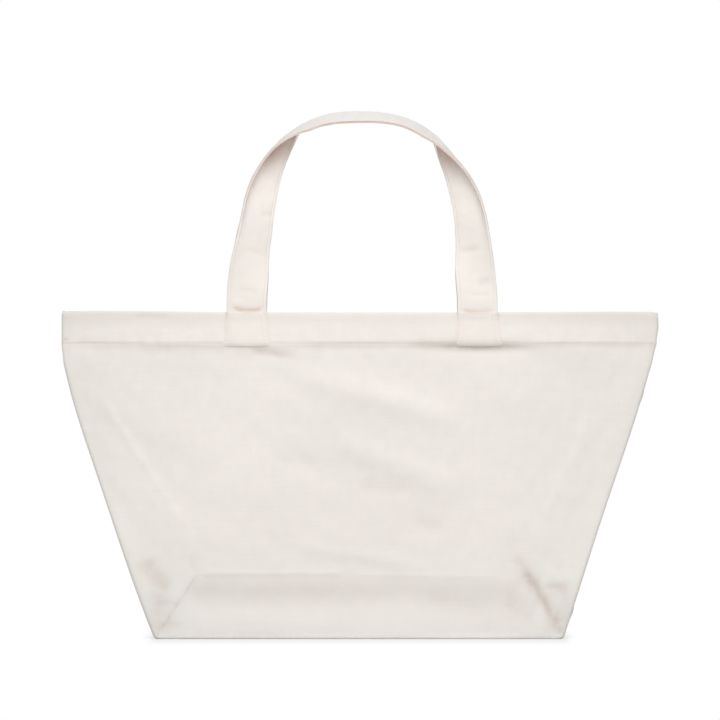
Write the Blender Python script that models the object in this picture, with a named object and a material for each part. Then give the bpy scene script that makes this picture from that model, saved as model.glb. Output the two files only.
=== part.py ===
"""A canvas tote bag that stands on its boxed base, with a strap handle sewn to each face.

The bag is cut as two sheets of canvas, a front and a back. Each makes one face, half of both
gussets and half of the base. The sheets meet in a seam down the middle of each gusset and along
the middle of the base, and a short seam across each end of the base gives it its depth. The
mouth's edge is turned in and stitched down as a hem. The gussets are pinched inwards a little,
as they are on a bag that was stored flat.

Lengths are in metres. The origin is the middle of the base's underside, +Z is up, and the front
faces -Y.
"""

import math

import bmesh
import bpy
import numpy as np
from mathutils import Vector

# The bag's body
MOUTH_WIDTH = 0.596
MOUTH_DEPTH = 0.080
MOUTH_END = 0.008
BASE_WIDTH = 0.408
BASE_DEPTH = 0.130
BAG_HEIGHT = 0.326
HEM_HEIGHT = 0.031
CANVAS = 0.0012
GUSSET_PINCH = 0.014
BASE_BEND = 0.004
FOLD_BEND = 0.009

# The seams' turned-in edges
SEAM_ALLOWANCE = 0.010
SEAM_THICKNESS = 0.0022
MOUTH_TO_SEAM = 0.003

# The handles
STRAP_WIDTH = 0.040
STRAP_THICKNESS = 0.0026
STRAP_EDGE = 0.0007
HANDLE_SPACING = 0.2308
HANDLE_OFFSET = 0.003
HANDLE_RISE = 0.195
HANDLE_TWIST = math.radians(104)
SEWN_WIDTH = 0.043
SEWN_HEIGHT = 0.034
FLEX_GAP = 0.0006
FLAT_MARGIN = 0.008

# Clearance between pieces that lie on each other
CLEARANCE = 0.0003

# Curves of the sloping faces and of the handles' arch
FACE_SWEEP = 1.5
ARCH_ACROSS = 3.0
ARCH_UP = 2.35
TWIST_EASE = 0.5
FOLD_SHARE = 0.6

# How finely the shapes are divided
FACE_COLUMNS = 12
FOLD_STEPS = 4
SIDE_COLUMNS = 3
BEND_STEPS = 4
WALL_ROWS = 12
HANDLE_STEPS = 56
ARCH_SAMPLES = 4001
SLOPE_STEP = 0.001

# Heights and depths that follow from the sizes above
HEM_BOTTOM = BAG_HEIGHT - HEM_HEIGHT
INNER_FLOOR = CANVAS + CLEARANCE
SEWN_MIDDLE = MOUTH_DEPTH / 2 + CLEARANCE + STRAP_THICKNESS / 2
MOUTH_FLAT = HANDLE_SPACING / 2 + abs(HANDLE_OFFSET) + SEWN_WIDTH / 2 + FLAT_MARGIN
AXIS_DEPTH = SEWN_MIDDLE + (STRAP_THICKNESS + CLEARANCE) / 2
AXIS_HEIGHT = BAG_HEIGHT + FLEX_GAP / 2

FRONT = -1
BACK = 1
LEFT = -1
RIGHT = 1

# Finishes: linear colour and roughness
CANVAS_FINISH = ((0.863, 0.832, 0.768), 0.92)
HEM_FINISH = ((0.830, 0.799, 0.736), 0.92)
SEAM_FINISH = ((0.760, 0.705, 0.620), 0.95)
STRAP_FINISH = ((0.880, 0.840, 0.790), 0.88)


def clear_scene():
    """Removes every object, so that the file holds only the bag."""
    for old in list(bpy.data.objects):
        bpy.data.objects.remove(old)


def cloth_material(name, finish):
    """A plain cloth material of one colour and roughness."""
    colour, roughness = finish
    material = bpy.data.materials.new(name)
    material.use_nodes = True
    shader = material.node_tree.nodes["Principled BSDF"]
    shader.inputs["Base Color"].default_value = (*colour, 1.0)
    shader.inputs["Roughness"].default_value = roughness
    shader.inputs["Metallic"].default_value = 0.0
    material.diffuse_color = (*colour, 1.0)
    return material


def add_object(name, bm, material, origin=(0.0, 0.0, 0.0)):
    """Makes a named object from a bmesh given in the bag's frame, with its own origin."""
    origin = Vector(origin)
    bmesh.ops.translate(bm, verts=bm.verts, vec=-origin)
    mesh = bpy.data.meshes.new(name)
    bm.to_mesh(mesh)
    bm.free()
    mesh.materials.append(material)
    mesh.shade_smooth()
    mesh.set_sharp_from_angle(angle=math.radians(40))
    piece = bpy.data.objects.new(name, mesh)
    piece.location = origin
    bpy.context.scene.collection.objects.link(piece)
    return piece


def thicken(piece, thickness):
    """Gives a sheet its thickness on the side away from its faces."""
    solidify = piece.modifiers.new("cloth_thickness", "SOLIDIFY")
    solidify.thickness = thickness
    solidify.offset = -1.0
    solidify.use_even_offset = True


# The shape of the bag's walls


def climb(height):
    """How far up the sloping walls a height lies: 0 at the base, 1 at the hem and above."""
    return min(max(height / HEM_BOTTOM, 0.0), 1.0)


def side_reach(height):
    """Distance from the bag's middle to the fold between face and gusset, along X."""
    return (BASE_WIDTH + (MOUTH_WIDTH - BASE_WIDTH) * climb(height)) / 2


def fold_depth(height):
    """Distance from the bag's middle to that fold, along Y."""
    return (BASE_DEPTH + (MOUTH_END - BASE_DEPTH) * climb(height)) / 2


def middle_depth(height):
    """Distance from the bag's middle to the middle of a face, along Y."""
    return (MOUTH_DEPTH + (BASE_DEPTH - MOUTH_DEPTH) * (1 - climb(height)) ** FACE_SWEEP) / 2


def seam_reach(height):
    """Distance from the bag's middle to the side seam, along X."""
    return side_reach(height) - GUSSET_PINCH * math.sin(math.pi * climb(height))


def seam_wall(height):
    """Thickness of the gusset's canvas at the side seam, measured along X."""
    above = seam_reach(height + SLOPE_STEP)
    below = seam_reach(height - SLOPE_STEP)
    upwards = (above - below) / (2 * SLOPE_STEP)
    across = (side_reach(height) - seam_reach(height)) / fold_depth(height)
    return CANVAS * math.hypot(1.0, upwards, across)


def face_point(x, height, inset=0.0):
    """A point of the front face's outer side in plan: flat in the middle, bowed to the folds."""
    reach = side_reach(height) - inset
    flat = MOUTH_FLAT * reach / (MOUTH_WIDTH / 2)
    bow = middle_depth(height) - fold_depth(height)
    past = max(x - flat, 0.0) / (reach - flat)
    return Vector((x, -(fold_depth(height) - inset + bow * (1 - past**2))))


def fold_bend(height, inset=0.0):
    """Size of the rounded fold between face and gusset, smaller where the gusset is narrow."""
    return min(FOLD_BEND, FOLD_SHARE * (fold_depth(height) - inset))


def face_outline(height, inset=0.0):
    """The right half of the front face in plan, from its middle to the start of the fold."""
    width = side_reach(height) - inset - fold_bend(height, inset)
    return [face_point(width * i / FACE_COLUMNS, height, inset) for i in range(FACE_COLUMNS + 1)]


def mirrored(half):
    """An outline from a right half that starts on the middle line."""
    return [Vector((-point.x, point.y)) for point in reversed(half[1:])] + half


def half_section(height, inset=0.0):
    """The front half of the bag in plan, from its left side seam to its right one."""
    bend = fold_bend(height, inset)
    fold = Vector((side_reach(height) - inset, inset - fold_depth(height)))
    seam = Vector((seam_reach(height) - inset, -CLEARANCE / 2))
    outline = face_outline(height, inset)
    face_end = outline.pop()
    gusset_start = fold + (seam - fold).normalized() * bend
    for step in range(FOLD_STEPS + 1):
        turn = step / FOLD_STEPS
        outline.append(face_end.lerp(fold, turn).lerp(fold.lerp(gusset_start, turn), turn))
    for column in range(1, SIDE_COLUMNS + 1):
        outline.append(gusset_start.lerp(seam, column / SIDE_COLUMNS))
    return mirrored(outline)


def wall_heights():
    """The heights at which the wall is divided, from the top of the base's bend to the mouth."""
    slope = HEM_BOTTOM - BASE_BEND
    heights = [BASE_BEND + slope * row / WALL_ROWS for row in range(1, WALL_ROWS + 1)]
    return heights + [BAG_HEIGHT]


def raised(outline, height, facing):
    """An outline in plan, set at a height on the front or the back."""
    return [Vector((point.x, -facing * point.y, height)) for point in outline]


def sheet_faces(bm, rows, facing):
    """Faces between rows of points, turned outwards. Returns the first row's corners."""
    corners = [[bm.verts.new(point) for point in row] for row in rows]
    for lower, upper in zip(corners, corners[1:]):
        for i in range(len(lower) - 1):
            loop = [lower[i], lower[i + 1], upper[i + 1], upper[i]]
            bm.faces.new(loop if facing == FRONT else loop[::-1])
    return corners[0]


def add_panel(name, facing, material):
    """One sheet of the body: a face, half of each gusset, and half of the base."""
    rows = []
    for step in range(BEND_STEPS + 1):
        turn = math.pi / 2 * step / BEND_STEPS
        height = BASE_BEND * (1 - math.cos(turn))
        inset = BASE_BEND * (1 - math.sin(turn))
        rows.append(raised(half_section(height, inset), height, facing))
    for height in wall_heights():
        rows.append(raised(half_section(height), height, facing))
    bm = bmesh.new()
    base_edge = sheet_faces(bm, rows, facing)
    bm.faces.new(base_edge[::-1] if facing == FRONT else base_edge)
    thicken(add_object(name, bm, material), CANVAS)


# The hem


def moved_in(outline, distance):
    """An outline of the front face, moved inwards by one distance everywhere."""
    normals = []
    for start, end in zip(outline, outline[1:]):
        along = (end - start).normalized()
        normals.append(Vector((-along.y, along.x)))
    moved = []
    for i, point in enumerate(outline):
        before = normals[max(i - 1, 0)]
        after = normals[min(i, len(normals) - 1)]
        middle = (before + after).normalized()
        moved.append(point + middle * distance / middle.dot(before))
    return moved


def cut_at(outline, limit):
    """The part of a right half outline that lies inside a distance from the middle."""
    kept = []
    for start, end in zip(outline, outline[1:]):
        kept.append(start)
        if end.x >= limit:
            kept.append(start.lerp(end, (limit - start.x) / (end.x - start.x)))
            break
    return kept


def add_hem(name, facing, material):
    """The layer turned in at the mouth, from one side seam's edge to the other's."""
    limit = seam_reach(BAG_HEIGHT) - INNER_FLOOR - SEAM_ALLOWANCE - CLEARANCE
    outline = mirrored(cut_at(moved_in(face_outline(BAG_HEIGHT), INNER_FLOOR), limit))
    rows = [raised(outline, height, facing) for height in (HEM_BOTTOM, BAG_HEIGHT)]
    bm = bmesh.new()
    sheet_faces(bm, rows, facing)
    thicken(add_object(name, bm, material), CANVAS)


# The seams


def add_loft(name, rings, material, origin=(0.0, 0.0, 0.0)):
    """A closed body through rings of points, with flat ends."""
    bm = bmesh.new()
    corners = [[bm.verts.new(point) for point in ring] for ring in rings]
    for lower, upper in zip(corners, corners[1:]):
        for i in range(len(lower)):
            j = (i + 1) % len(lower)
            bm.faces.new([lower[i], lower[j], upper[j], upper[i]])
    bm.faces.new(corners[0][::-1])
    bm.faces.new(corners[-1])
    bmesh.ops.recalc_face_normals(bm, faces=bm.faces)
    return add_object(name, bm, material, origin)


def add_side_seam(name, side, material):
    """The two sheets' edges inside a gusset, sewn together and standing inwards."""
    bottom = INNER_FLOOR + SEAM_ALLOWANCE + CLEARANCE
    top = BAG_HEIGHT - MOUTH_TO_SEAM
    heights = [bottom] + [height for height in wall_heights() if bottom < height < top] + [top]
    half = SEAM_THICKNESS / 2
    rings = []
    for height in heights:
        outer = seam_reach(height) - seam_wall(height) - CLEARANCE
        inner = outer - SEAM_ALLOWANCE
        plan = [(outer, -half), (outer, half), (inner, half), (inner, -half)]
        rings.append([Vector((side * x, y, height)) for x, y in plan])
    add_loft(name, rings, material)


def standing_strip(low, high, along_y):
    """Rings of a strip that stands on the inside of the base, between two corners in plan."""
    ends = (low[1], high[1]) if along_y else (low[0], high[0])
    heights = (INNER_FLOOR, INNER_FLOOR + SEAM_ALLOWANCE)
    rings = []
    for end in ends:
        if along_y:
            rings.append([Vector((x, end, z)) for z in heights for x in (low[0], high[0])])
        else:
            rings.append([Vector((end, y, z)) for z in heights for y in (low[1], high[1])])
    return [[ring[0], ring[1], ring[3], ring[2]] for ring in rings]


def add_corner_seam(name, side, material):
    """The seam across an end of the base, where gusset and base are sewn together."""
    outer = BASE_WIDTH / 2 - BASE_BEND
    half = BASE_DEPTH / 2 - BASE_BEND - FOLD_BEND
    across = sorted((side * outer, side * (outer - SEAM_THICKNESS)))
    rings = standing_strip((across[0], -half), (across[1], half), along_y=True)
    add_loft(name, rings, material)


def add_base_seam(name, material):
    """The two sheets' edges along the middle of the base, between the corner seams."""
    reach = BASE_WIDTH / 2 - BASE_BEND - SEAM_THICKNESS - CLEARANCE
    half = SEAM_THICKNESS / 2
    rings = standing_strip((-reach, -half), (reach, half), along_y=False)
    add_loft(name, rings, material)


# The handles


def strap_ring(middle, across, through, width):
    """The strap's cross-section round a point, with its long edges eased."""
    half_width = width / 2
    half_thick = STRAP_THICKNESS / 2
    eased_width = half_width - STRAP_EDGE
    eased_thick = half_thick - STRAP_EDGE
    corners = [
        (half_width, -eased_thick),
        (half_width, eased_thick),
        (eased_width, half_thick),
        (-eased_width, half_thick),
        (-half_width, eased_thick),
        (-half_width, -eased_thick),
        (-eased_width, -half_thick),
        (eased_width, -half_thick),
    ]
    return [middle + across * u + through * v for u, v in corners]


def add_sewn_end(name, facing, side, material):
    """A handle's end, sewn flat to the outside of the hem and just past its lower edge."""
    x = HANDLE_OFFSET + side * HANDLE_SPACING / 2
    bottom = BAG_HEIGHT - SEWN_HEIGHT
    heights = [bottom] + [height for height in wall_heights() if height > bottom]
    across = Vector((1.0, 0.0, 0.0))
    through = Vector((0.0, 1.0, 0.0))
    rings = []
    for height in heights:
        depth = middle_depth(height) + CLEARANCE + STRAP_THICKNESS / 2
        middle = Vector((x, facing * depth, height))
        rings.append(strap_ring(middle, across, through, SEWN_WIDTH))
    add_loft(name, rings, material)


def arch_line():
    """Evenly spaced points along the middle of a handle's loop, as rows of x and height."""
    turn = np.linspace(0.0, math.pi, ARCH_SAMPLES)
    across = np.sign(-np.cos(turn)) * np.abs(np.cos(turn)) ** (2 / ARCH_ACROSS)
    up = np.abs(np.sin(turn)) ** (2 / ARCH_UP)
    line = np.stack([HANDLE_SPACING / 2 * across, HANDLE_RISE * up], axis=1)
    travel = np.concatenate([[0.0], np.cumsum(np.linalg.norm(np.diff(line, axis=0), axis=1))])
    places = np.linspace(0.0, travel[-1], HANDLE_STEPS + 1)
    return np.stack([np.interp(places, travel, line[:, axis]) for axis in (0, 1)], axis=1)


def strap_twist(share):
    """Turn of the strap about its own length, from 0 at the hem to its most at the top."""
    eased = share * share * (3 - 2 * share)
    return HANDLE_TWIST * (TWIST_EASE * eased + (1 - TWIST_EASE) * share)


def add_handle(name, facing, material):
    """The free loop: flat against the viewer at the hem, and nearly on edge over the arch."""
    line = arch_line()
    last = len(line) - 1
    bottom = BAG_HEIGHT + FLEX_GAP
    rings = []
    for i, (x, z) in enumerate(line):
        run = line[min(i + 1, last)] - line[max(i - 1, 0)]
        if i in (0, last):
            run = np.array([0.0, 1.0 if i == 0 else -1.0])
        along = Vector((run[0], 0.0, run[1])).normalized()
        outwards = Vector((-along.z, 0.0, along.x))
        twist = strap_twist(1 - abs(2 * i / last - 1))
        across = outwards * math.cos(twist) + Vector((0.0, facing, 0.0)) * math.sin(twist)
        middle = Vector((HANDLE_OFFSET + x, facing * SEWN_MIDDLE, bottom + z))
        rings.append(strap_ring(middle, across, along.cross(across), STRAP_WIDTH))
    add_loft(name, rings, material, origin=(HANDLE_OFFSET, facing * AXIS_DEPTH, AXIS_HEIGHT))


def build_bag():
    """Builds every piece of the bag."""
    clear_scene()
    for word, facing in (("front", FRONT), ("back", BACK)):
        add_panel(f"{word}_panel", facing, cloth_material(f"{word}_canvas", CANVAS_FINISH))
        add_hem(f"{word}_hem", facing, cloth_material(f"{word}_hem_canvas", HEM_FINISH))
        strap = cloth_material(f"{word}_strap", STRAP_FINISH)
        add_handle(f"{word}_handle", facing, strap)
        for hand, side in (("left", LEFT), ("right", RIGHT)):
            sewn = cloth_material(f"{word}_{hand}_sewn_strap", STRAP_FINISH)
            add_sewn_end(f"{word}_{hand}_strap_end", facing, side, sewn)
    for hand, side in (("left", LEFT), ("right", RIGHT)):
        edges = cloth_material(f"{hand}_seam_edges", SEAM_FINISH)
        add_side_seam(f"{hand}_side_seam", side, edges)
        corner = cloth_material(f"{hand}_corner_edges", SEAM_FINISH)
        add_corner_seam(f"{hand}_corner_seam", side, corner)
    add_base_seam("base_seam", cloth_material("base_seam_edges", SEAM_FINISH))


build_bag()
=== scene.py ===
"""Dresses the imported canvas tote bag: its sheets, straps, stitching and seam edges.

Each sheet of canvas is one length of cloth. It runs from the middle of the base, round the base's
bend, up the face and the halves of both gussets, over the mouth, and down inside as the hem. Each
strap is one length too, sewn flat to the hem band at both ends and twisted between them. Thread
is laid stitch by stitch, and the turned-in seam edges are overlocked.

Lengths are in metres, in the CAD's frame: +Z up, and the front faces -Y.
"""

import logging
import math
from collections.abc import Callable
from dataclasses import dataclass, replace
from enum import Enum

import bpy
import numpy as np
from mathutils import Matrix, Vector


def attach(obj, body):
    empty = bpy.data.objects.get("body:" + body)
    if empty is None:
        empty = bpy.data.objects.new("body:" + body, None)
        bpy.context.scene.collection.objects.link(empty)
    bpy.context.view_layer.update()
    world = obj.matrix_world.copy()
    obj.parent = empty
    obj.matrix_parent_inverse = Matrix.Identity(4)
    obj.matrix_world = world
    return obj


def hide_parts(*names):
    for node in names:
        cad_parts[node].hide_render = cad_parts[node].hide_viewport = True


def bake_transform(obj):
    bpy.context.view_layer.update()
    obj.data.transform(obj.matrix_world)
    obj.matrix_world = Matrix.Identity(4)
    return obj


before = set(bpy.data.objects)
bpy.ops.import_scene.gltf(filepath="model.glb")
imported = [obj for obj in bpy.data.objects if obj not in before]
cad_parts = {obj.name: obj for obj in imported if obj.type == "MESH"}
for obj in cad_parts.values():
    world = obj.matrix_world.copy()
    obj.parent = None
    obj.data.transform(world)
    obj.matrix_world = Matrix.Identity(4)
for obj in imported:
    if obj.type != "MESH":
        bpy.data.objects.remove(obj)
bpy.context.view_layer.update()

LOG = logging.getLogger("tote_bag")

Table = np.ndarray
Marks = dict[str, Table]
Tables = tuple[Table, Table]
Two = tuple[float, float]
Three = tuple[float, float, float]
Feeds = dict[str | int, object]
Piece = bpy.types.Object
Material = bpy.types.Material
Node = bpy.types.Node
Socket = bpy.types.NodeSocket
Tree = bpy.types.NodeTree

# Socket types of node groups, and the Mix node's sockets for colours
NUMBER = "NodeSocketFloat"
VECTOR = "NodeSocketVector"
COLOUR = "NodeSocketColor"
MIX_COLOURS = ("Factor", 6, 7)
MIX_COLOUR_RESULT = 2

# Points along a crease's curve, the least angle that stays sharp, and how near vertices merge
CREASE_SAMPLES = 13
SHARP_CORNER = math.radians(50)
SHEET_MERGE = 2e-5
TUBE_MERGE = 1e-6

# Relief of a thread as a share of the pitch, how far stitches stand proud, and the seams' clearance
THREAD_RELIEF = 0.35
THREAD_PROUD = 0.00006
SEAM_GAP = 0.0006

WHITE = (1.0, 1.0, 1.0, 1.0)
# Tint of painted cool light and painted cool shade
COOL_TINT = (0.985, 1.012, 1.04, 1.0)
ACROSS, DEEP, UP = np.eye(3)


class Named(Enum):
    """A choice whose name pieces and nodes hold."""

    @property
    def word(self) -> str:
        """The name in small letters."""
        return self.name.lower()


class Facing(Named):
    """The sheet of the bag that a piece belongs to."""

    FRONT = -1
    BACK = 1

    @property
    def front(self) -> int:
        """1 for the front and -1 for the back."""
        return -self.value

    @property
    def loop(self) -> str:
        """The CAD body of the handle on this side."""
        return f"{self.word}_loop"


class Side(Named):
    """The bag's left and right, as seen from the front."""

    LEFT = -1
    RIGHT = 1


class Profile(Enum):
    """How a crease is shaped across its line."""

    ROUND = "round"
    SHARP = "sharp"


def limit(share: Table) -> Table:
    """A share held between 0 and 1."""
    return np.clip(share, 0.0, 1.0)


def smooth_step(share: Table) -> Table:
    """Eases a share from 0 to 1, held at both ends."""
    held = limit(share)
    return held * held * (3 - 2 * held)


def bell(gap: Table, width: Table, power: int = 2) -> Table:
    """1 where a gap is zero, dying away over a width."""
    return np.exp(-((gap / width) ** power))


def unit(rows: Table) -> Table:
    """Rows of vectors, each made one unit long."""
    return rows / np.maximum(np.linalg.norm(rows, axis=-1, keepdims=True), 1e-12)


def travel_along(points: Table) -> Table:
    """The distance travelled to each point of a row, or of every row of a table."""
    steps = np.linalg.norm(np.diff(points, axis=-2), axis=-1)
    return np.concatenate([np.zeros((*steps.shape[:-1], 1)), np.cumsum(steps, axis=-1)], axis=-1)


def evenly(points: Table, step: float) -> Table:
    """Evenly spaced places along a row of points, about one step apart."""
    travel = travel_along(points)
    places = np.linspace(0.0, travel[-1], max(2, round(travel[-1] / step)) + 1)
    return np.stack([np.interp(places, travel, axis) for axis in points.T], axis=1)


def closed(table: Table) -> Table:
    """A table with its first column once more at its end."""
    return np.concatenate([table, table[:, :1]], axis=1)


@dataclass(frozen=True)
class Stretch:
    """A stretch of some measure, eased in over a rise and out over a fall."""

    start: float
    rise: float
    end: float
    fall: float

    def at(self, measure: Table) -> Table:
        """1 inside the stretch and 0 outside it."""
        begun = smooth_step((measure - self.start) / self.rise)
        return begun * (1 - smooth_step((measure - self.end) / self.fall))


@dataclass(frozen=True)
class Crease:
    """One pressed or hanging fold, drawn as a curve on a surface.

    Attributes:
        points: Two or three places that the curve passes through.
        height: How far the cloth stands out along it; negative for a valley.
        width: Distance from the line at which the fold has mostly died away.
        soil: How much darker its line is, from 0 to 1, by soiling and painted shade; negative values paint a
            highlight along it.
        taper: Share of the length over which each end fades.
        profile: Its shape across the line.
    """

    points: tuple[Two, ...]
    height: float
    width: float
    soil: float = 0.0
    taper: float = 0.3
    profile: Profile = Profile.ROUND

    def line(self) -> Table:
        """Points along the curve, as rows of two coordinates."""
        ends = np.array(self.points, float)
        share = np.linspace(0.0, 1.0, CREASE_SAMPLES)[:, None]
        if len(ends) == 2:
            return ends[0] + (ends[1] - ends[0]) * share
        pull = 2 * ends[1] - (ends[0] + ends[2]) / 2
        return ends[0] * (1 - share) ** 2 + pull * 2 * share * (1 - share) + ends[2] * share**2

    def reading(self, across: Table, up: Table) -> Tables:
        """Distance to the curve, and how far along it, for every point of a surface.

        Args:
            across: First coordinate of the points.
            up: Second coordinate of the points.

        Returns:
            Signed distances, positive on the curve's left, and shares of its length.
        """
        line = self.line()
        nearest = np.full(across.shape, np.inf)
        share = np.zeros(across.shape)
        for i, (start, end) in enumerate(zip(line, line[1:])):
            run = end - start
            length = np.linalg.norm(run)
            along = ((across - start[0]) * run[0] + (up - start[1]) * run[1]) / length**2
            held = limit(along)
            gap_across = across - start[0] - held * run[0]
            gap_up = up - start[1] - held * run[1]
            gap = np.hypot(gap_across, gap_up)
            left = np.sign(run[0] * gap_up - run[1] * gap_across)
            closer = gap < np.abs(nearest)
            nearest = np.where(closer, gap * np.where(left == 0, 1, left), nearest)
            share = np.where(closer, (i + held) / (len(line) - 1), share)
        return nearest, share

    def shape(self, across: Table, up: Table) -> Tables:
        """The crease's height, and its soiling and painted shade, at every point of a surface.

        Args:
            across: First coordinate of the points.
            up: Second coordinate of the points.

        Returns:
            Heights in metres, and soiling and painted shade from 0 to 1, negative for a painted highlight.
        """
        gap, share = self.reading(across, up)
        ends = smooth_step(share / self.taper) * smooth_step((1 - share) / self.taper)
        near = bell(gap, self.width)
        if self.profile is Profile.SHARP:
            near = np.exp(-np.abs(gap) / self.width)
        return self.height * ends * near, self.soil * ends * np.abs(near)


def metres(length: float) -> float:
    """Millimetres made metres."""
    return round(length / 1000, 7)


def creases(*rows: tuple) -> tuple[Crease, ...]:
    """Creases from rows of their fields, in millimetres, with the places across and up in turn."""
    return tuple(Crease(tuple(zip(map(metres, places[::2]), map(metres, places[1::2]))),
                        metres(height), metres(width), *rest) for places, height, width, *rest in rows)


@dataclass(frozen=True)
class Ripple:
    """Gentle unevenness, made of waves in random directions.

    Attributes:
        height: Typical height of the waves.
        longest: Longest wavelength.
        shortest: Shortest wavelength.
        seed: Start of the random draws.
        waves: Number of waves.
    """

    height: float
    longest: float
    shortest: float
    seed: int
    waves: int = 9

    def shape(self, across: Table, up: Table) -> Table:
        """The waves' height at every point of a surface.

        Args:
            across: First coordinate of the points.
            up: Second coordinate of the points.

        Returns:
            Heights in metres.
        """
        draw = np.random.default_rng(self.seed)
        total = np.zeros(across.shape)
        for length in np.geomspace(self.longest, self.shortest, self.waves):
            turn = draw.uniform(0, math.tau)
            phase = draw.uniform(0, math.tau)
            place = (across * math.cos(turn) + up * math.sin(turn)) / length
            total += np.sin(math.tau * place + phase) * math.sqrt(length / self.longest)
        return self.height * total / math.sqrt(self.waves / 2)


@dataclass(frozen=True)
class Bow:
    """How a slanting edge swells past a straight line.

    Attributes:
        whole: Swell over the edge's whole height.
        full: Further swell below the mouth, where the cloth is fullest.
        place: Height of that fullness.
        spread: Distance over which it dies away.
        mouth: How far the band's end leans out at the mouth.
        power: How squarely the whole swell is rounded.
        ease: Height over which the fullness starts at the base, and ends at the hem.
    """

    whole: float
    full: float
    place: float
    spread: float
    mouth: float = 0.0
    power: float = 0.7
    ease: float = 0.03


@dataclass(frozen=True)
class Grain:
    """How finely a sheet's half section is divided."""

    face: int = 98
    fold: int = 6
    gusset: int = 18
    lip: int = 2

    @property
    def columns(self) -> int:
        """Columns of a half section, the middle one included."""
        return self.face + self.fold + self.gusset + self.lip + 1

    @property
    def corner(self) -> int:
        """The column that meets the base's corner."""
        return self.face + self.fold // 2


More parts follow.
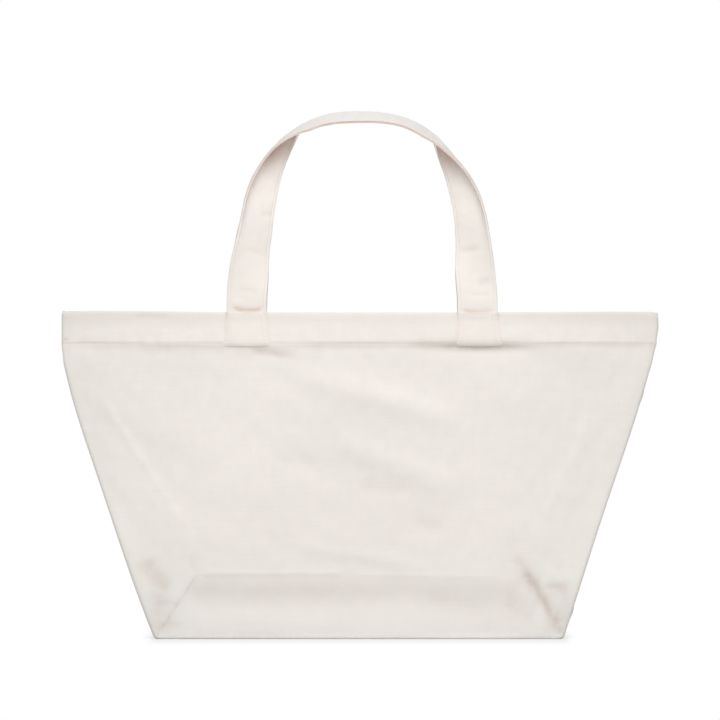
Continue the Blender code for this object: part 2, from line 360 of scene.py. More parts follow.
@dataclass(frozen=True)
class BagShape:
    """The bag's sizes and the curves of its walls, which repeat the CAD's.

    Depths are distances from the bag's middle plane, and reaches are distances from its middle
    along X, so one formula serves every quarter of the bag.
    """

    mouth_width: float = 0.596
    mouth_depth: float = 0.08
    mouth_end: float = 0.008
    base_width: float = 0.408
    base_depth: float = 0.13
    height: float = 0.326
    hem_height: float = 0.031
    canvas: float = 0.0012
    gusset_pinch: float = 0.014
    base_bend: float = 0.004
    pressed_bend: float = 0.0026
    fold_bend: float = 0.006
    corner_bend: float = 0.009
    fold_share: float = 0.6
    face_sweep: float = 1.5
    clearance: float = 0.0003
    seam_allowance: float = 0.01
    seam_thickness: float = 0.0022
    handle_spacing: float = 0.2308
    handle_offset: float = 0.003
    handle_rise: float = 0.195
    sewn_width: float = 0.043
    sewn_height: float = 0.034
    flat_margin: float = 0.008
    strap_thickness: float = 0.0026
    lip: float = 0.0011
    left_bow: Bow = Bow(0.007, 0.0042, 0.248, 0.075)
    right_bow: Bow = Bow(0.0014, 0.0034, 0.232, 0.09, 0.0019)

    @property
    def hem_bottom(self) -> float:
        """Height of the hem's lower edge."""
        return self.height - self.hem_height

    @property
    def mouth_flat(self) -> float:
        """Distance from the middle to which the mouth's faces stay flat."""
        half = self.handle_spacing / 2 + self.handle_offset + self.sewn_width / 2
        return half + self.flat_margin

    @property
    def floor(self) -> float:
        """Height of the base seams' foot, just above the cloth."""
        return self.canvas + self.clearance

    def climb(self, heights: Table) -> Table:
        """How far up the sloping walls a height lies, from 0 to 1."""
        return limit(heights / self.hem_bottom)

    def bow(self, heights: Table, side: Side) -> Table:
        """How far the cloth of a slanting edge swells past a straight line.

        Args:
            heights: Heights.
            side: Left or right.

        Returns:
            The swell at each height.
        """
        bow = self.left_bow if side is Side.LEFT else self.right_bow
        whole = bow.whole * limit(np.sin(math.pi * self.climb(heights))) ** bow.power
        full = bow.full * bell(heights - bow.place, bow.spread) * smooth_step(heights / bow.ease)
        full *= smooth_step((self.hem_bottom + 0.005 - heights) / bow.ease)
        return whole + full + bow.mouth * smooth_step((heights - self.hem_bottom) / 0.02)

    def side_reach(self, heights: Table) -> Table:
        """Reach of the fold between face and gusset."""
        return (self.base_width + (self.mouth_width - self.base_width) * self.climb(heights)) / 2

    def fold_depth(self, heights: Table) -> Table:
        """Depth of that fold."""
        return (self.base_depth + (self.mouth_end - self.base_depth) * self.climb(heights)) / 2

    def middle_depth(self, heights: Table) -> Table:
        """Depth of the middle of a face."""
        swept = (1 - self.climb(heights)) ** self.face_sweep
        return (self.mouth_depth + (self.base_depth - self.mouth_depth) * swept) / 2

    def seam_reach(self, heights: Table) -> Table:
        """Reach of the side seam."""
        pinch = self.gusset_pinch * np.sin(math.pi * self.climb(heights))
        return self.side_reach(heights) - pinch

    def bulge(self, x: Table, heights: Table, reach: Table) -> Tables:
        """How far a face stands out past its folds.

        Args:
            x: Places across, from the bag's middle.
            heights: Heights.
            reach: Reach of the folds.

        Returns:
            Distances, and how fast they shrink outwards.
        """
        flat = self.mouth_flat * reach / (self.mouth_width / 2)
        bulge = self.middle_depth(heights) - self.fold_depth(heights)
        past = np.maximum(np.abs(x) - flat, 0.0) / (reach - flat)
        return bulge * (1 - past**2), 2 * bulge * past / (reach - flat) * np.sign(x)

    def half_section(self, heights: Table, insets: Table, side: Side, grain: Grain) -> Table:
        """Half of one sheet in plan at many heights, from the middle of the face to the seam.

        Args:
            heights: One height for each row.
            insets: How far each row lies inside the bag's outer surface.
            side: Left or right.
            grain: How finely the section is divided.

        Returns:
            Reach and depth, as an array of rows, columns and two coordinates.
        """
        heights = np.asarray(heights, float)[:, None]
        inset = np.asarray(insets, float)[:, None]
        swell = self.bow(heights, side)
        depth = self.fold_depth(heights) - inset
        bend = np.minimum(self.fold_bend, self.fold_share * depth)
        reach = self.side_reach(heights) + swell - inset
        x = (reach - bend) * np.linspace(0.0, 1.0, grain.face + 1)
        face = np.stack([x, depth + self.bulge(x, heights, reach)[0]], axis=-1)
        corner = np.stack([reach, depth], axis=-1)
        seam_x = self.seam_reach(heights) + swell - inset
        lip = np.minimum(self.lip, depth * 0.7)
        seam = np.stack([seam_x, lip + self.clearance / 2], axis=-1)
        away = unit(seam - corner)
        start, end = face[:, -1:, :], corner + away * bend[..., None]
        turn = np.linspace(0.0, 1.0, grain.fold + 1)[None, 1:, None]
        fold = start * (1 - turn) ** 2 + corner * 2 * turn * (1 - turn) + end * turn**2
        run = np.linspace(0.0, 1.0, grain.gusset + 1)[None, 1:, None]
        gusset = end + (seam - end) * run
        angle = np.linspace(0.0, math.pi / 2, grain.lip + 1)[None, 1:]
        lips = np.stack([seam_x - lip + lip * np.cos(angle),
                         lip - lip * np.sin(angle) + self.clearance / 2], axis=-1)
        return np.concatenate([face, fold, gusset, lips], axis=1)


class Workbench:
    """Modelling steps that several pieces share."""

    @staticmethod
    def deselect() -> None:
        """Leaves nothing selected, for the operator that comes next."""
        if bpy.context.mode != "OBJECT":
            bpy.ops.object.mode_set(mode="OBJECT")
        bpy.ops.object.select_all(action="DESELECT")

    @classmethod
    def focus(cls, *pieces: Piece) -> None:
        """Selects pieces and makes the first one active."""
        cls.deselect()
        for piece in pieces:
            piece.select_set(True)
        bpy.context.view_layer.objects.active = pieces[0]

    @classmethod
    def rework(cls, piece: Piece, step: Callable[..., object], **settings: object) -> None:
        """Runs one edit-mode operator on the whole of a piece's mesh.

        Args:
            piece: The piece.
            step: The operator.
            **settings: What it is called with.
        """
        cls.focus(piece)
        bpy.ops.object.mode_set(mode="EDIT")
        bpy.ops.mesh.select_all(action="SELECT")
        step(**settings)
        bpy.ops.object.mode_set(mode="OBJECT")

    @classmethod
    def sheet(cls, name: str, points: Table, cloth: Table, marks: Marks) -> Piece:
        """A grid of quads laid through a table of points.

        Args:
            name: The piece's name.
            points: Places, as rows, columns and three coordinates.
            cloth: Places on the flat cloth, as rows, columns and two coordinates.
            marks: Numbers that the finish reads, by name, as rows and columns.

        Returns:
            The sheet, with the cloth's places as its UV map and the marks as attributes.
        """
        rows, columns = points.shape[:2]
        cls.deselect()
        bpy.ops.mesh.primitive_grid_add(x_subdivisions=columns - 1, y_subdivisions=rows - 1, size=1.0)
        piece = bpy.context.active_object
        piece.name = piece.data.name = name
        flat = np.empty(rows * columns * 3, np.float32)
        piece.data.vertices.foreach_get("co", flat)
        flat = flat.reshape(-1, 3)
        column = np.rint((flat[:, 0] + 0.5) * (columns - 1)).astype(int)
        row = np.rint((flat[:, 1] + 0.5) * (rows - 1)).astype(int)
        piece.data.vertices.foreach_set("co", points[row, column].astype(np.float32).ravel())
        corner = np.empty(len(piece.data.loops), np.int32)
        piece.data.loops.foreach_get("vertex_index", corner)
        placed = cloth[row, column][corner]
        piece.data.uv_layers[0].data.foreach_set("uv", placed.astype(np.float32).ravel())
        for label, values in marks.items():
            held = piece.data.attributes.new(label, "FLOAT", "POINT")
            held.data.foreach_set("value", values[row, column].astype(np.float32))
        piece.data.update()
        return piece

    @classmethod
    def face_out(cls, piece: Piece) -> None:
        """Turns all of a closed piece's faces outwards."""
        cls.rework(piece, bpy.ops.mesh.normals_make_consistent, inside=False)

    @classmethod
    def thicken(cls, piece: Piece, thickness: float) -> None:
        """Gives a sheet its thickness, on the side away from its faces.

        Args:
            piece: The sheet.
            thickness: Its thickness.
        """
        cls.focus(piece)
        wall = piece.modifiers.new("cloth", "SOLIDIFY")
        wall.thickness = thickness
        wall.offset = -1.0
        wall.use_even_offset = False
        bpy.ops.object.modifier_apply(modifier=wall.name)

    @classmethod
    def dress(cls, piece: Piece, finish: Material) -> None:
        """Shades a piece smooth, with its true corners sharp, and gives it one finish all over.

        Args:
            piece: The piece.
            finish: Its finish.
        """
        cls.focus(piece)
        bpy.ops.object.shade_smooth_by_angle(angle=SHARP_CORNER)
        piece.data.materials.clear()
        piece.data.materials.append(finish)

    @classmethod
    def tube(cls, name: str, rings: Table, cloth: Table, marks: Marks) -> Piece:
        """A closed tube through rings of points, with flat ends.

        Args:
            name: The piece's name.
            rings: Places, as rings, corners and three coordinates.
            cloth: Places on the flat cloth, one column more than the rings have corners.
            marks: Numbers that the finish reads, by name, as rings and corners.

        Returns:
            The tube.
        """
        piece = cls.sheet(name, closed(rings), cloth, {label: closed(marks[label]) for label in marks})
        cls.rework(piece, bpy.ops.mesh.remove_doubles, threshold=TUBE_MERGE)
        cls.rework(piece, bpy.ops.mesh.fill_holes, sides=0)
        cls.face_out(piece)
        return piece


class NodeBench:
    """Adds and joins the nodes of one shader tree."""

    def __init__(self, tree: Tree) -> None:
        """Starts on a tree."""
        self.tree = tree

    def fill(self, node: Node, feeds: Feeds) -> Node:
        """Joins a node's inputs to sockets, or sets their values.

        Args:
            node: The node.
            feeds: A socket or a value for each input, by name or number.

        Returns:
            The same node.
        """
        for label, value in feeds.items():
            if isinstance(value, Socket):
                self.tree.links.new(value, node.inputs[label])
            else:
                node.inputs[label].default_value = value
        return node

    def add(self, kind: str, feeds: Feeds | None = None, **settings: object) -> Node:
        """A new node.

        Args:
            kind: The node's type, without the word ShaderNode.
            feeds: A socket or a value for each input, by name or number.
            **settings: Attributes to set on it first.

        Returns:
            The node.
        """
        node = self.tree.nodes.new(f"ShaderNode{kind}")
        for name, value in settings.items():
            setattr(node, name, value)
        return self.fill(node, feeds or {})

    def math(self, operation: str, *values: object, clamp: bool = False) -> Socket:
        """The result of a Math node on sockets or numbers."""
        return self.add("Math", dict(enumerate(values)), operation=operation, use_clamp=clamp).outputs[0]

    def mix(self, share: object, low: object, high: object, blend: str = "MIX") -> Socket:
        """A blend of two colours.

        Args:
            share: How much of the second colour.
            low: The first colour.
            high: The second colour.
            blend: The way of blending.

        Returns:
            The colour's socket.
        """
        feeds = dict(zip(MIX_COLOURS, (share, low, high)))
        return self.add("Mix", feeds, data_type="RGBA", blend_type=blend).outputs[MIX_COLOUR_RESULT]

    def spread(self, value: object, low: float, high: float, to_low: float = 0.0,
               to_high: float = 1.0) -> Socket:
        """A value carried from one range to another, and held at its ends."""
        feeds = {"Value": value, "From Min": low, "From Max": high, "To Min": to_low, "To Max": to_high}
        return self.add("MapRange", feeds, clamp=True).outputs[0]

    def noise(self, vector: object, scale: float, detail: float = 2.0,
              rough: float = 0.5) -> Node:
        """A Noise Texture on a vector."""
        feeds = {"Vector": vector, "Scale": scale, "Detail": detail, "Roughness": rough}
        return self.add("TexNoise", feeds)


class SharedEffects:
    """Node groups that more than one finish uses."""

    @staticmethod
    def start(name: str, inputs: dict[str, object],
              outputs: dict[str, str]) -> tuple[Tree, NodeBench, dict]:
        """A new group with its sockets.

        Args:
            name: The group's name.
            inputs: For each input its type, or the default value of a number.
            outputs: Type of each output.

        Returns:
            The group, a bench on it, and its input sockets by name.
        """
        group = bpy.data.node_groups.new(name, "ShaderNodeTree")
        for label, value in inputs.items():
            number = not isinstance(value, str)
            kind = NUMBER if number else value
            socket = group.interface.new_socket(label, in_out="INPUT", socket_type=kind)
            if number:
                socket.default_value = value
        for label, kind in outputs.items():
            group.interface.new_socket(label, in_out="OUTPUT", socket_type=kind)
        entry = group.nodes.new("NodeGroupInput")
        return group, NodeBench(group), {socket.name: socket for socket in entry.outputs if socket.name}

    @classmethod
    def plain_weave(cls) -> Tree:
        """Warp and weft threads that pass over and under each other.

        Returns:
            A group that gives the threads' height, and a random tone for each thread.
        """
        group, bench, entry = cls.start("plain_weave", {"Cloth": VECTOR, "Pitch": 0.0008, "Wander": 0.5},
                                        {"Height": NUMBER, "Tone": NUMBER})
        drift = bench.noise(entry["Cloth"], 55.0, 1.0)
        pushed = bench.add("SeparateColor", {0: drift.outputs["Color"]})
        split = bench.add("SeparateXYZ", {0: entry["Cloth"]})
        threads, crowns, tones = [], [], []
        for axis in (0, 1):
            place = bench.math("DIVIDE", split.outputs[axis], entry["Pitch"])
            push = bench.math("SUBTRACT", pushed.outputs[axis], 0.5)
            place = bench.math("MULTIPLY_ADD", push, entry["Wander"], place)
            threads.append((place, bench.math("FLOOR", place)))
            inside = bench.math("MULTIPLY", bench.math("FRACT", place), math.pi)
            crowns.append(bench.math("SINE", inside))
        lifts = []
        for own, other in ((0, 1), (1, 0)):
            phase = bench.math("ADD", bench.math("SUBTRACT", threads[other][0], 0.5), threads[own][1])
            wave = bench.math("COSINE", bench.math("MULTIPLY", phase, math.pi))
            lift = bench.math("MULTIPLY_ADD", wave, -0.5 if own else 0.5, 0.5)
            rise = bench.math("MULTIPLY_ADD", lift, 0.7, 0.3)
            lifts.append(bench.math("MULTIPLY", rise, crowns[own]))
            line = bench.add("CombineXYZ", {0: bench.math("MULTIPLY", threads[own][1], 1.7),
                                            1: bench.math("MULTIPLY", split.outputs[other], 14.0),
                                            2: 7.3 * own})
            tone = bench.noise(line.outputs[0], 1.0, 1.5).outputs[0]
            tones.append(tone if own else bench.math("MULTIPLY_ADD", tone, 0.5, 0.25))
        over = bench.math("GREATER_THAN", *lifts)
        tone = bench.add("Mix", {0: over, 2: tones[1], 3: tones[0]}, data_type="FLOAT").outputs[0]
        leave = group.nodes.new("NodeGroupOutput")
        bench.fill(leave, {"Height": bench.math("MAXIMUM", *lifts), "Tone": tone})
        return group

    @classmethod
    def cloth_ageing(cls) -> Tree:
        """Uneven tone of undyed cotton, soiling and painted shade in creases and hollows, wear and painted
        shade on edges, and painted light, with cool and warm tints.

        Returns:
            A group that changes a cloth's colour.
        """
        group, bench, entry = cls.start(
            "cloth_ageing",
            {"Colour": COLOUR, "Soil Colour": COLOUR, "Edge Colour": COLOUR, "Tone": 0.5,
             "Tone Amount": 0.1, "Place": VECTOR},
            {"Colour": COLOUR, "Mottle": NUMBER},
        )
        soil, edge, pale, cool = (bench.add("Attribute", attribute_name=name).outputs["Fac"]
                                  for name in ("soil", "edge", "pale", "cool"))
        broad = bench.noise(entry["Place"], 7.0, 3.0, 0.6).outputs[0]
        fine = bench.noise(entry["Place"], 90.0, 2.0, 0.55).outputs[0]
        mottle = bench.math("MULTIPLY_ADD", broad, 0.6, bench.math("MULTIPLY", fine, 0.4))
        shade = bench.spread(mottle, 0.3, 0.7, 0.965, 1.025)
        thread = bench.math("SUBTRACT", entry["Tone"], 0.5)
        thread = bench.math("MULTIPLY_ADD", thread, entry["Tone Amount"], 1.0)
        broken = bench.spread(fine, 0.25, 0.6, 0.55, 1.0)
        # Painted light, where faces are made paler
        painted_light_level = bench.math("MULTIPLY_ADD", bench.math("MULTIPLY", pale, broken), 0.13, 1.0)
        level = bench.math("MULTIPLY", bench.math("MULTIPLY", shade, thread), painted_light_level)
        grey = bench.add("CombineColor", {0: level, 1: level, 2: level})
        tint = bench.mix(1.0, entry["Colour"], grey.outputs[0], "MULTIPLY")
        # Painted cool light and painted cool shade
        tint = bench.mix(cool, tint, COOL_TINT, "MULTIPLY")
        # Soiling with painted shade, then edge wear and tint with painted shade and painted warm light
        for share, colour in ((soil, "Soil Colour"), (edge, "Edge Colour")):
            tint = bench.mix(bench.math("MULTIPLY", share, broken, clamp=True), tint, entry[colour])
        leave = group.nodes.new("NodeGroupOutput")
        bench.fill(leave, {"Colour": tint, "Mottle": mottle})
        return group


def new_material(name: str) -> tuple[Material, NodeBench, Node]:
    """A new material.

    Args:
        name: Its name.

    Returns:
        The material, a bench on its nodes, and its shader.
    """
    made = bpy.data.materials.new(name)
    made.use_nodes = True
    return made, NodeBench(made.node_tree), made.node_tree.nodes["Principled BSDF"]


@dataclass(frozen=True)
class ClothFinish:
    """Woven undyed cotton.

    Attributes:
        name: The material's name.
        colour: Linear colour of clean cloth.
        soil: Linear colour of a crease's soiled line, also of painted shade.
        edge: Linear colour of worn, stitched or tinted edges, and of painted shade and painted warm light.
        pitch: Distance between threads.
        weave: Strength of the weave's relief.
        tone: How much the threads differ in tone.
        wander: How far the threads wander, in pitches.
        roughness: Roughness of clean cloth.
        sheen: Amount of soft sheen from loose fibres.
    """

    name: str
    colour: Three
    soil: Three
    edge: Three
    pitch: float
    weave: float = 0.5
    tone: float = 0.1
    wander: float = 0.6
    roughness: float = 0.9
    sheen: float = 0.1

    def material(self, weave: Tree, wear_and_light: Tree) -> Material:
        """Builds the finish.

        Args:
            weave: The shared group of threads.
            wear_and_light: The shared group of tone, soiling, wear, painted shade and painted light.

        Returns:
            The material.
        """
        made, bench, shader = new_material(self.name)
        places = bench.add("TexCoord").outputs
        threads = bench.add("Group", {"Cloth": places["UV"], "Pitch": self.pitch, "Wander": self.wander},
                            node_tree=weave)
        aged_and_lit = bench.add("Group", {
            "Colour": (*self.colour, 1.0), "Soil Colour": (*self.soil, 1.0),
            "Edge Colour": (*self.edge, 1.0), "Tone Amount": self.tone,
            "Tone": threads.outputs["Tone"], "Place": places["Object"]}, node_tree=wear_and_light)
        relief = bench.add("Bump", {"Strength": self.weave, "Distance": self.pitch * THREAD_RELIEF,
                                    "Height": threads.outputs["Height"]})
        dull = bench.spread(aged_and_lit.outputs["Mottle"], 0.3, 0.7, self.roughness - 0.06, self.roughness + 0.06)
        bench.fill(shader, {
            "Base Color": aged_and_lit.outputs["Colour"], "Roughness": dull, "Normal": relief.outputs[0],
            "Sheen Weight": self.sheen, "Sheen Roughness": 0.6, "Specular IOR Level": 0.25})
        return made


@dataclass(frozen=True)
class ThreadFinish:
    """Twisted sewing thread.

    Attributes:
        name: The material's name.
        colour: Linear colour of the thread's crowns.
        shade: Linear colour between its plies.
    """

    name: str
    colour: Three
    shade: Three

    def material(self) -> Material:
        """Builds the finish from fine slanting bands, as of twisted plies."""
        made, bench, shader = new_material(self.name)
        place = bench.add("TexCoord").outputs["Object"]
        plies = bench.add("TexWave", {"Vector": place, "Scale": 420.0, "Distortion": 1.5},
                          wave_type="BANDS", bands_direction="DIAGONAL").outputs["Fac"]
        tone = bench.spread(bench.noise(place, 60.0).outputs[0], 0.3, 0.7, 0.5, 1.0)
        share = bench.math("MULTIPLY", plies, tone)
        relief = bench.add("Bump", {"Strength": 0.4, "Distance": 0.0001, "Height": plies})
        bench.fill(shader, {
            "Base Color": bench.mix(share, (*self.shade, 1.0), (*self.colour, 1.0)),
            "Normal": relief.outputs[0], "Sheen Weight": 0.1, "Roughness": 0.7})
        return made


class Finishes:
    """The bag's materials, each made once."""

    def __init__(self) -> None:
        """Builds the shared effects and every finish."""
        groups = SharedEffects.plain_weave(), SharedEffects.cloth_ageing()
        # The soiling colours also serve for painted shade, and the strap's edge colour also for painted warm
        # light in its fold's hollow
        self.canvas = ClothFinish("off_white_canvas", (0.86, 0.818, 0.764), (0.6, 0.52, 0.46),
                                  (0.74, 0.66, 0.58), 0.00085).material(*groups)
        self.strap = ClothFinish("folded_cotton_strap", (0.903, 0.848, 0.796), (0.66, 0.48, 0.4),
                                 (0.58, 0.35, 0.27), 0.00075, tone=0.08).material(*groups)
        self.seam = ClothFinish("raw_canvas_edges", (0.8, 0.75, 0.67), (0.55, 0.49, 0.42),
                                (0.7, 0.62, 0.53), 0.00085, weave=0.8).material(*groups)
        self.thread = ThreadFinish("seam_thread", (0.88, 0.83, 0.77), (0.74, 0.65, 0.58)).material()
        self.overlock = ThreadFinish("overlock_thread", (0.84, 0.8, 0.73), (0.6, 0.53, 0.45)).material()


# Creases pressed into the front: places across and up the face, height, width, soiling with painted shade
# (negative for a painted highlight) and taper
FRONT_CREASES = creases(
    ((40, 292.2, 111, 290.2, 185, 291.4), -2.6, 5.8, 0.31, 0.22),
    ((74, 292.8, 115, 292.2, 160, 293), -0.8, 1.8, 0.7, 0.25, Profile.SHARP),
    ((-72, 292.5, 88, 292), -0.4, 3.6, 0.15, 0.2),
    ((-32, 295, 65, 295), -0.5, 1.2, 0.24, 0.3, Profile.SHARP),
    ((165, 293.6, 294, 292.8), -0.5, 2.2, 0.12, 0.12),
    ((-292, 296, -239, 293.8, -150, 291.5), -0.4, 2, 0.06, 0.15),
    ((-142, 288.5, -96, 286.5, -50, 285.5), -0.1, 5.6, 0.12),
    ((-112, 288, -90, 285, -60, 280), -1.8, 3.6, 0.36),
    ((-84, 269.5, 10, 242.5, 125, 210), 2.5, 13, 0, 0.25),
    ((-95, 280, 10, 251.5, 120, 222), 0, 8.5, -0.18),
    ((-34, 200.5, 31, 175.5, 121, 148.5), 3.4, 13.5),
    ((-84, 176.5, -30, 170.5), -1.2, 10),
    ((-10, 150, 58, 147), -1.8, 9, 0.07),
    ((50, 114, 92, 106), -1.8, 9, 0.07),
    ((-200, 152, 0, 146, 200, 153), 0.8, 18),
    ((-74, 93.5, -9, 84.5, 85, 71), 1.4, 6.5),
    ((-165, 65.5, -10, 65.5), 1, 3, 0, 0.1),
    ((-15, 64, 150, 62), 0.6, 3, 0, 0.15),
    ((-192, 34.5, 188, 33), -4.8, 19.5, 0, 0.12),
    ((-182, 49, 178, 48), 0, 12, 0.13, 0.08),
    ((-135, 50, 60, 49), 0, 10, 0.09),
    ((50, 35, 176, 25), -0.8, 11, 0.11),
    ((-145, 27, -10, 18), 0, 8.5, -0.22),
    ((-205, 12, 205, 10), 0, 17, 0.12, 0.05),
    ((-161, 65.5, -204, 0.2), 0.5, 1.1, 0.42, 0.05, Profile.SHARP),
    ((-203, 2, -197.5, 50), 0, 14, 0.3, 0.2),
    ((-175, 45, -138, 50), -0.4, 9, 0.07),
    ((-209, 35, -174, 34.5), -0.6, 2.5, 0.14),
    ((-204, 14.5, -172, 13.5), -0.5, 2.2, 0.12),
    ((-214, 83, -206, 62, -186, 48.5), -1.4, 10, 0.42, 0.2),
    ((-218.5, 70, -208, 44), 0.6, 4, -0.4),
    ((-169, 86.5, -165, 64), -0.6, 2.6, 0.08),
    ((153, 85, 178, 48.5, 204.5, 2.5), -2.1, 5.6, 0.28, 0.14),
    ((166, 66, 206, 5), -0.3, 7.8, 0.17),
    ((164, 68, 182, 42, 209.5, -6), -0.4, 3.2, 0.36, 0.2),
    ((182, 53, 212, 52.5), -1, 5.4, 0.28),
    ((158, 64, 184, 52), -1.2, 8.5, 0.2),
    ((201, 60, 211, 6), 0, 12.5, 0.3, 0.15),
    ((184, 30, 202, 2), 0, 9, 0.12, 0.15),
    ((140, 33, 184, 26), -1.2, 13, 0.22),
    ((-190, 4.5, -55, 4.5), -0.3, 1.6, 0.1),
    ((-264, 253.5, -209, 166.5, -159, 93.5), 0.5, 3.8, -0.26, 0.15),
    ((243, 253.5, 206, 168.5, 165, 93.5), 0.5, 6, -0.22, 0.2),
    ((-231, 321.5, -188, 320.5), -0.7, 2.2, 0.18),
    ((-297, 322.8, -135, 322.8), -0.3, 1.4, 0.05, 0.08),
    ((90, 322.2, 297, 323.2), -0.3, 2, 0.1, 0.12),
    ((-298.5, 326, -298.5, 293), -0.8, 7, 0.09, 0.05),
    ((299.5, 326, 299.5, 293), -0.8, 7, 0.05, 0.05),
    ((-297, 299.6, -290.5, 299.3), 0.2, 1.2, 0.4),
    ((291.5, 295.7, 298, 290), -1.2, 2.2, 0.4),
)

# Creases pressed into the back, which was folded with the front but hung its own way
BACK_CREASES = creases(
    ((-160, 287, -90, 289.5, -40, 286), -2.2, 7, 0.05),
    ((60, 287, 125, 288.5), -1.8, 7),
    ((-80, 250, 10, 232, 110, 246), 2.4, 15),
    ((-120, 205, -20, 186), -1.8, 13),
    ((10, 190, 120, 160), 2, 13),
    ((-200, 128, 10, 120, 190, 131), 1.3, 18),
    ((-158, 64, 160, 64), -0.8, 2.2, 0.1, 0.15, Profile.SHARP),
    ((-165, 34, 172, 36), -2.2, 18, 0, 0.15),
    ((-203, 1, -180, 42, -160, 74), -2.2, 6, 0.12, 0.2),
    ((203, 2, 163, 64), 0.8, 2.2, 0.12, 0.3, Profile.SHARP),
    ((222, 78, 190, 50), -0.8, 4, 0.06, 0.3, Profile.SHARP),
    ((-262, 238, -200, 125, -165, 75), 0.7, 3.2, -0.35),
    ((262, 240, 212, 150, 168, 80), 0.6, 4, -0.3),
    ((-298.5, 326, -298.5, 293), -0.8, 7, 0.2, 0.05),
    ((299.5, 326, 299.5, 293), -0.8, 7, 0.22, 0.05),
)

# Creases of a gusset, as places out from the seam and up
GUSSET_CREASES = creases(
    ((60, 4, 4, 68), 1, 3, 0.06, 0.3, Profile.SHARP),
    ((12, 85, 34, 110, 40, 150), -2.2, 10),
    ((8, 160, 24, 190), 1.4, 8),
    ((48, 30, 50, 75), -1.6, 9),
)


@dataclass(frozen=True)
class Panel:
    """One sheet of canvas, from the middle of the base to the hem's edge inside the mouth.

    Attributes:
        shape: The bag's sizes.
        facing: Front or back.
        creases: The face's creases.
        seed: Start of this sheet's random unevenness.
        drops: How far the mouth's left and right corners turn down.
        crowns: How far the mouth rises beside those corners.
    """

    shape: BagShape
    facing: Facing
    creases: tuple[Crease, ...]
    seed: int
    grain: Grain = Grain()
    bend_rows: int = 6
    roll_rows: int = 7
    hem_rows: int = 10
    roll: float = 0.00145
    row_step: float = 0.0026
    stitch_height: float = 0.2956
    press_height: float = 0.0642
    swell: Three = (0.0009, 0.24, 0.07)
    ripple: Three = (0.00022, 0.045, 0.014)
    pucker: Three = (0.00028, 0.02, 0.009)
    gusset_swell: Three = (0.0016, 0.11, 0.04)
    recess: float = 0.0018
    recess_fall: float = 0.008
    recess_rise: float = 0.07
    recess_above: float = 0.0008
    band_calm: float = 0.01
    band_lean: float = 0.0012
    # Painted light on the hem band; painted shade along the band's top stretch, and darker towards the
    # bottom of the face
    band_pale: float = 0.34
    rim_soil: float = 0.18
    rim: Stretch = Stretch(0.3085, 0.0125, 0.32, 0.004)
    low_soil: float = 0.06
    low_reach: float = 0.14
    groove: float = 0.00035
    groove_width: float = 0.0009
    groove_soil: float = 0.3
    pucker_width: float = 0.007
    stitch_pitch: float = 0.0031
    flat_foot: float = 0.007
    face_margin: float = 0.02
    # Painted shade with wear along the fold between face and gusset
    fold_tint: float = 0.22
    fold_width: float = 0.0018
    seam_soil: float = 0.45
    drops: Two = (0.0022, 0.006)
    drop_width: float = 0.0065
    crowns: Two = (0.0016, 0.0008)
    crown_place: float = 0.255
    crown_spread: float = 0.09

    def wall_heights(self) -> Table:
        """Heights of the wall's rows, closer together at the hem's stitches and the pressed fold."""
        fine = np.linspace(self.shape.pressed_bend, self.shape.height - self.roll, 2000)
        density = 1 + 2.4 * bell(fine - self.stitch_height, 0.0035)
        density += 1.2 * bell(fine - self.press_height, 0.005)
        count = np.concatenate([[0.0], np.cumsum((density[1:] + density[:-1]) / 2 * np.diff(fine))])
        rows = int(count[-1] / self.row_step)
        return np.interp(np.linspace(0.0, count[-1], rows + 1), count, fine)

    def rows(self) -> Tables:
        """Height and inset of every row, from the base's bend over the mouth to the hem's edge."""
        shape = self.shape
        turn = np.linspace(0.0, math.pi / 2, self.bend_rows + 1)[:-1]
        wall = self.wall_heights()
        arc = np.linspace(0.0, math.pi, self.roll_rows + 1)[1:]
        inner = np.linspace(wall[-1], shape.hem_bottom, self.hem_rows + 1)[1:]
        heights = [shape.pressed_bend * (1 - np.cos(turn)), wall, wall[-1] + self.roll * np.sin(arc), inner]
        insets = [shape.pressed_bend * (1 - np.sin(turn)), np.zeros(len(wall)),
                  self.roll * (1 - np.cos(arc)), np.full(len(inner), 2 * self.roll)]
        return np.concatenate(heights), np.concatenate(insets)

    def relief(self, x: Table, z: Table) -> tuple[Table, Table, Table]:
        """How far the face's cloth stands out, and its soiling, painted shade and painted light.

        Args:
            x: Places across the face, from the bag's middle.
            z: Heights.

        Returns:
            Heights of the relief in metres, soiling and painted shade from 0 to 1, and painted light from 0
            to 1.
        """
        shape = self.shape
        out, soil, pale = (np.zeros(x.shape) for _ in range(3))
        # Each crease's line is darkened by soiling and painted shade, or given a painted highlight where its
        # value is negative
        for crease in self.creases:
            stand, dirt_and_shade = crease.shape(x, z)
            out += stand
            soil += np.maximum(dirt_and_shade, 0.0)
            pale += np.maximum(-dirt_and_shade, 0.0)
        band = smooth_step((z - shape.hem_bottom + self.band_calm) / self.band_calm)
        out += Ripple(*self.swell, self.seed).shape(x, z) * (1 - 0.85 * band)
        out += Ripple(*self.ripple, self.seed + 1).shape(x, z) * (1 - 0.4 * band)
        below = shape.hem_bottom + self.recess_above - z
        fall = smooth_step(below / self.recess_fall)
        out -= self.recess * fall * (1 - 0.8 * smooth_step((below - self.recess_fall) / self.recess_rise))
        on_band = smooth_step(-below / 0.002)
        out -= self.band_lean * smooth_step((z - shape.hem_bottom) / shape.hem_height)
        # Painted light on the hem band, less in its middle, and painted shade along the band's top
        middle = bell(x - 0.03, 0.15, 4)
        high = limit((z - self.rim.start) / self.rim.rise)
        pale += on_band * (self.band_pale - 0.2 * middle) * (1 - high)
        high = high * (self.rim_soil - 0.08 * middle)
        soil += high * (1 - smooth_step((z - self.rim.end) / self.rim.fall))
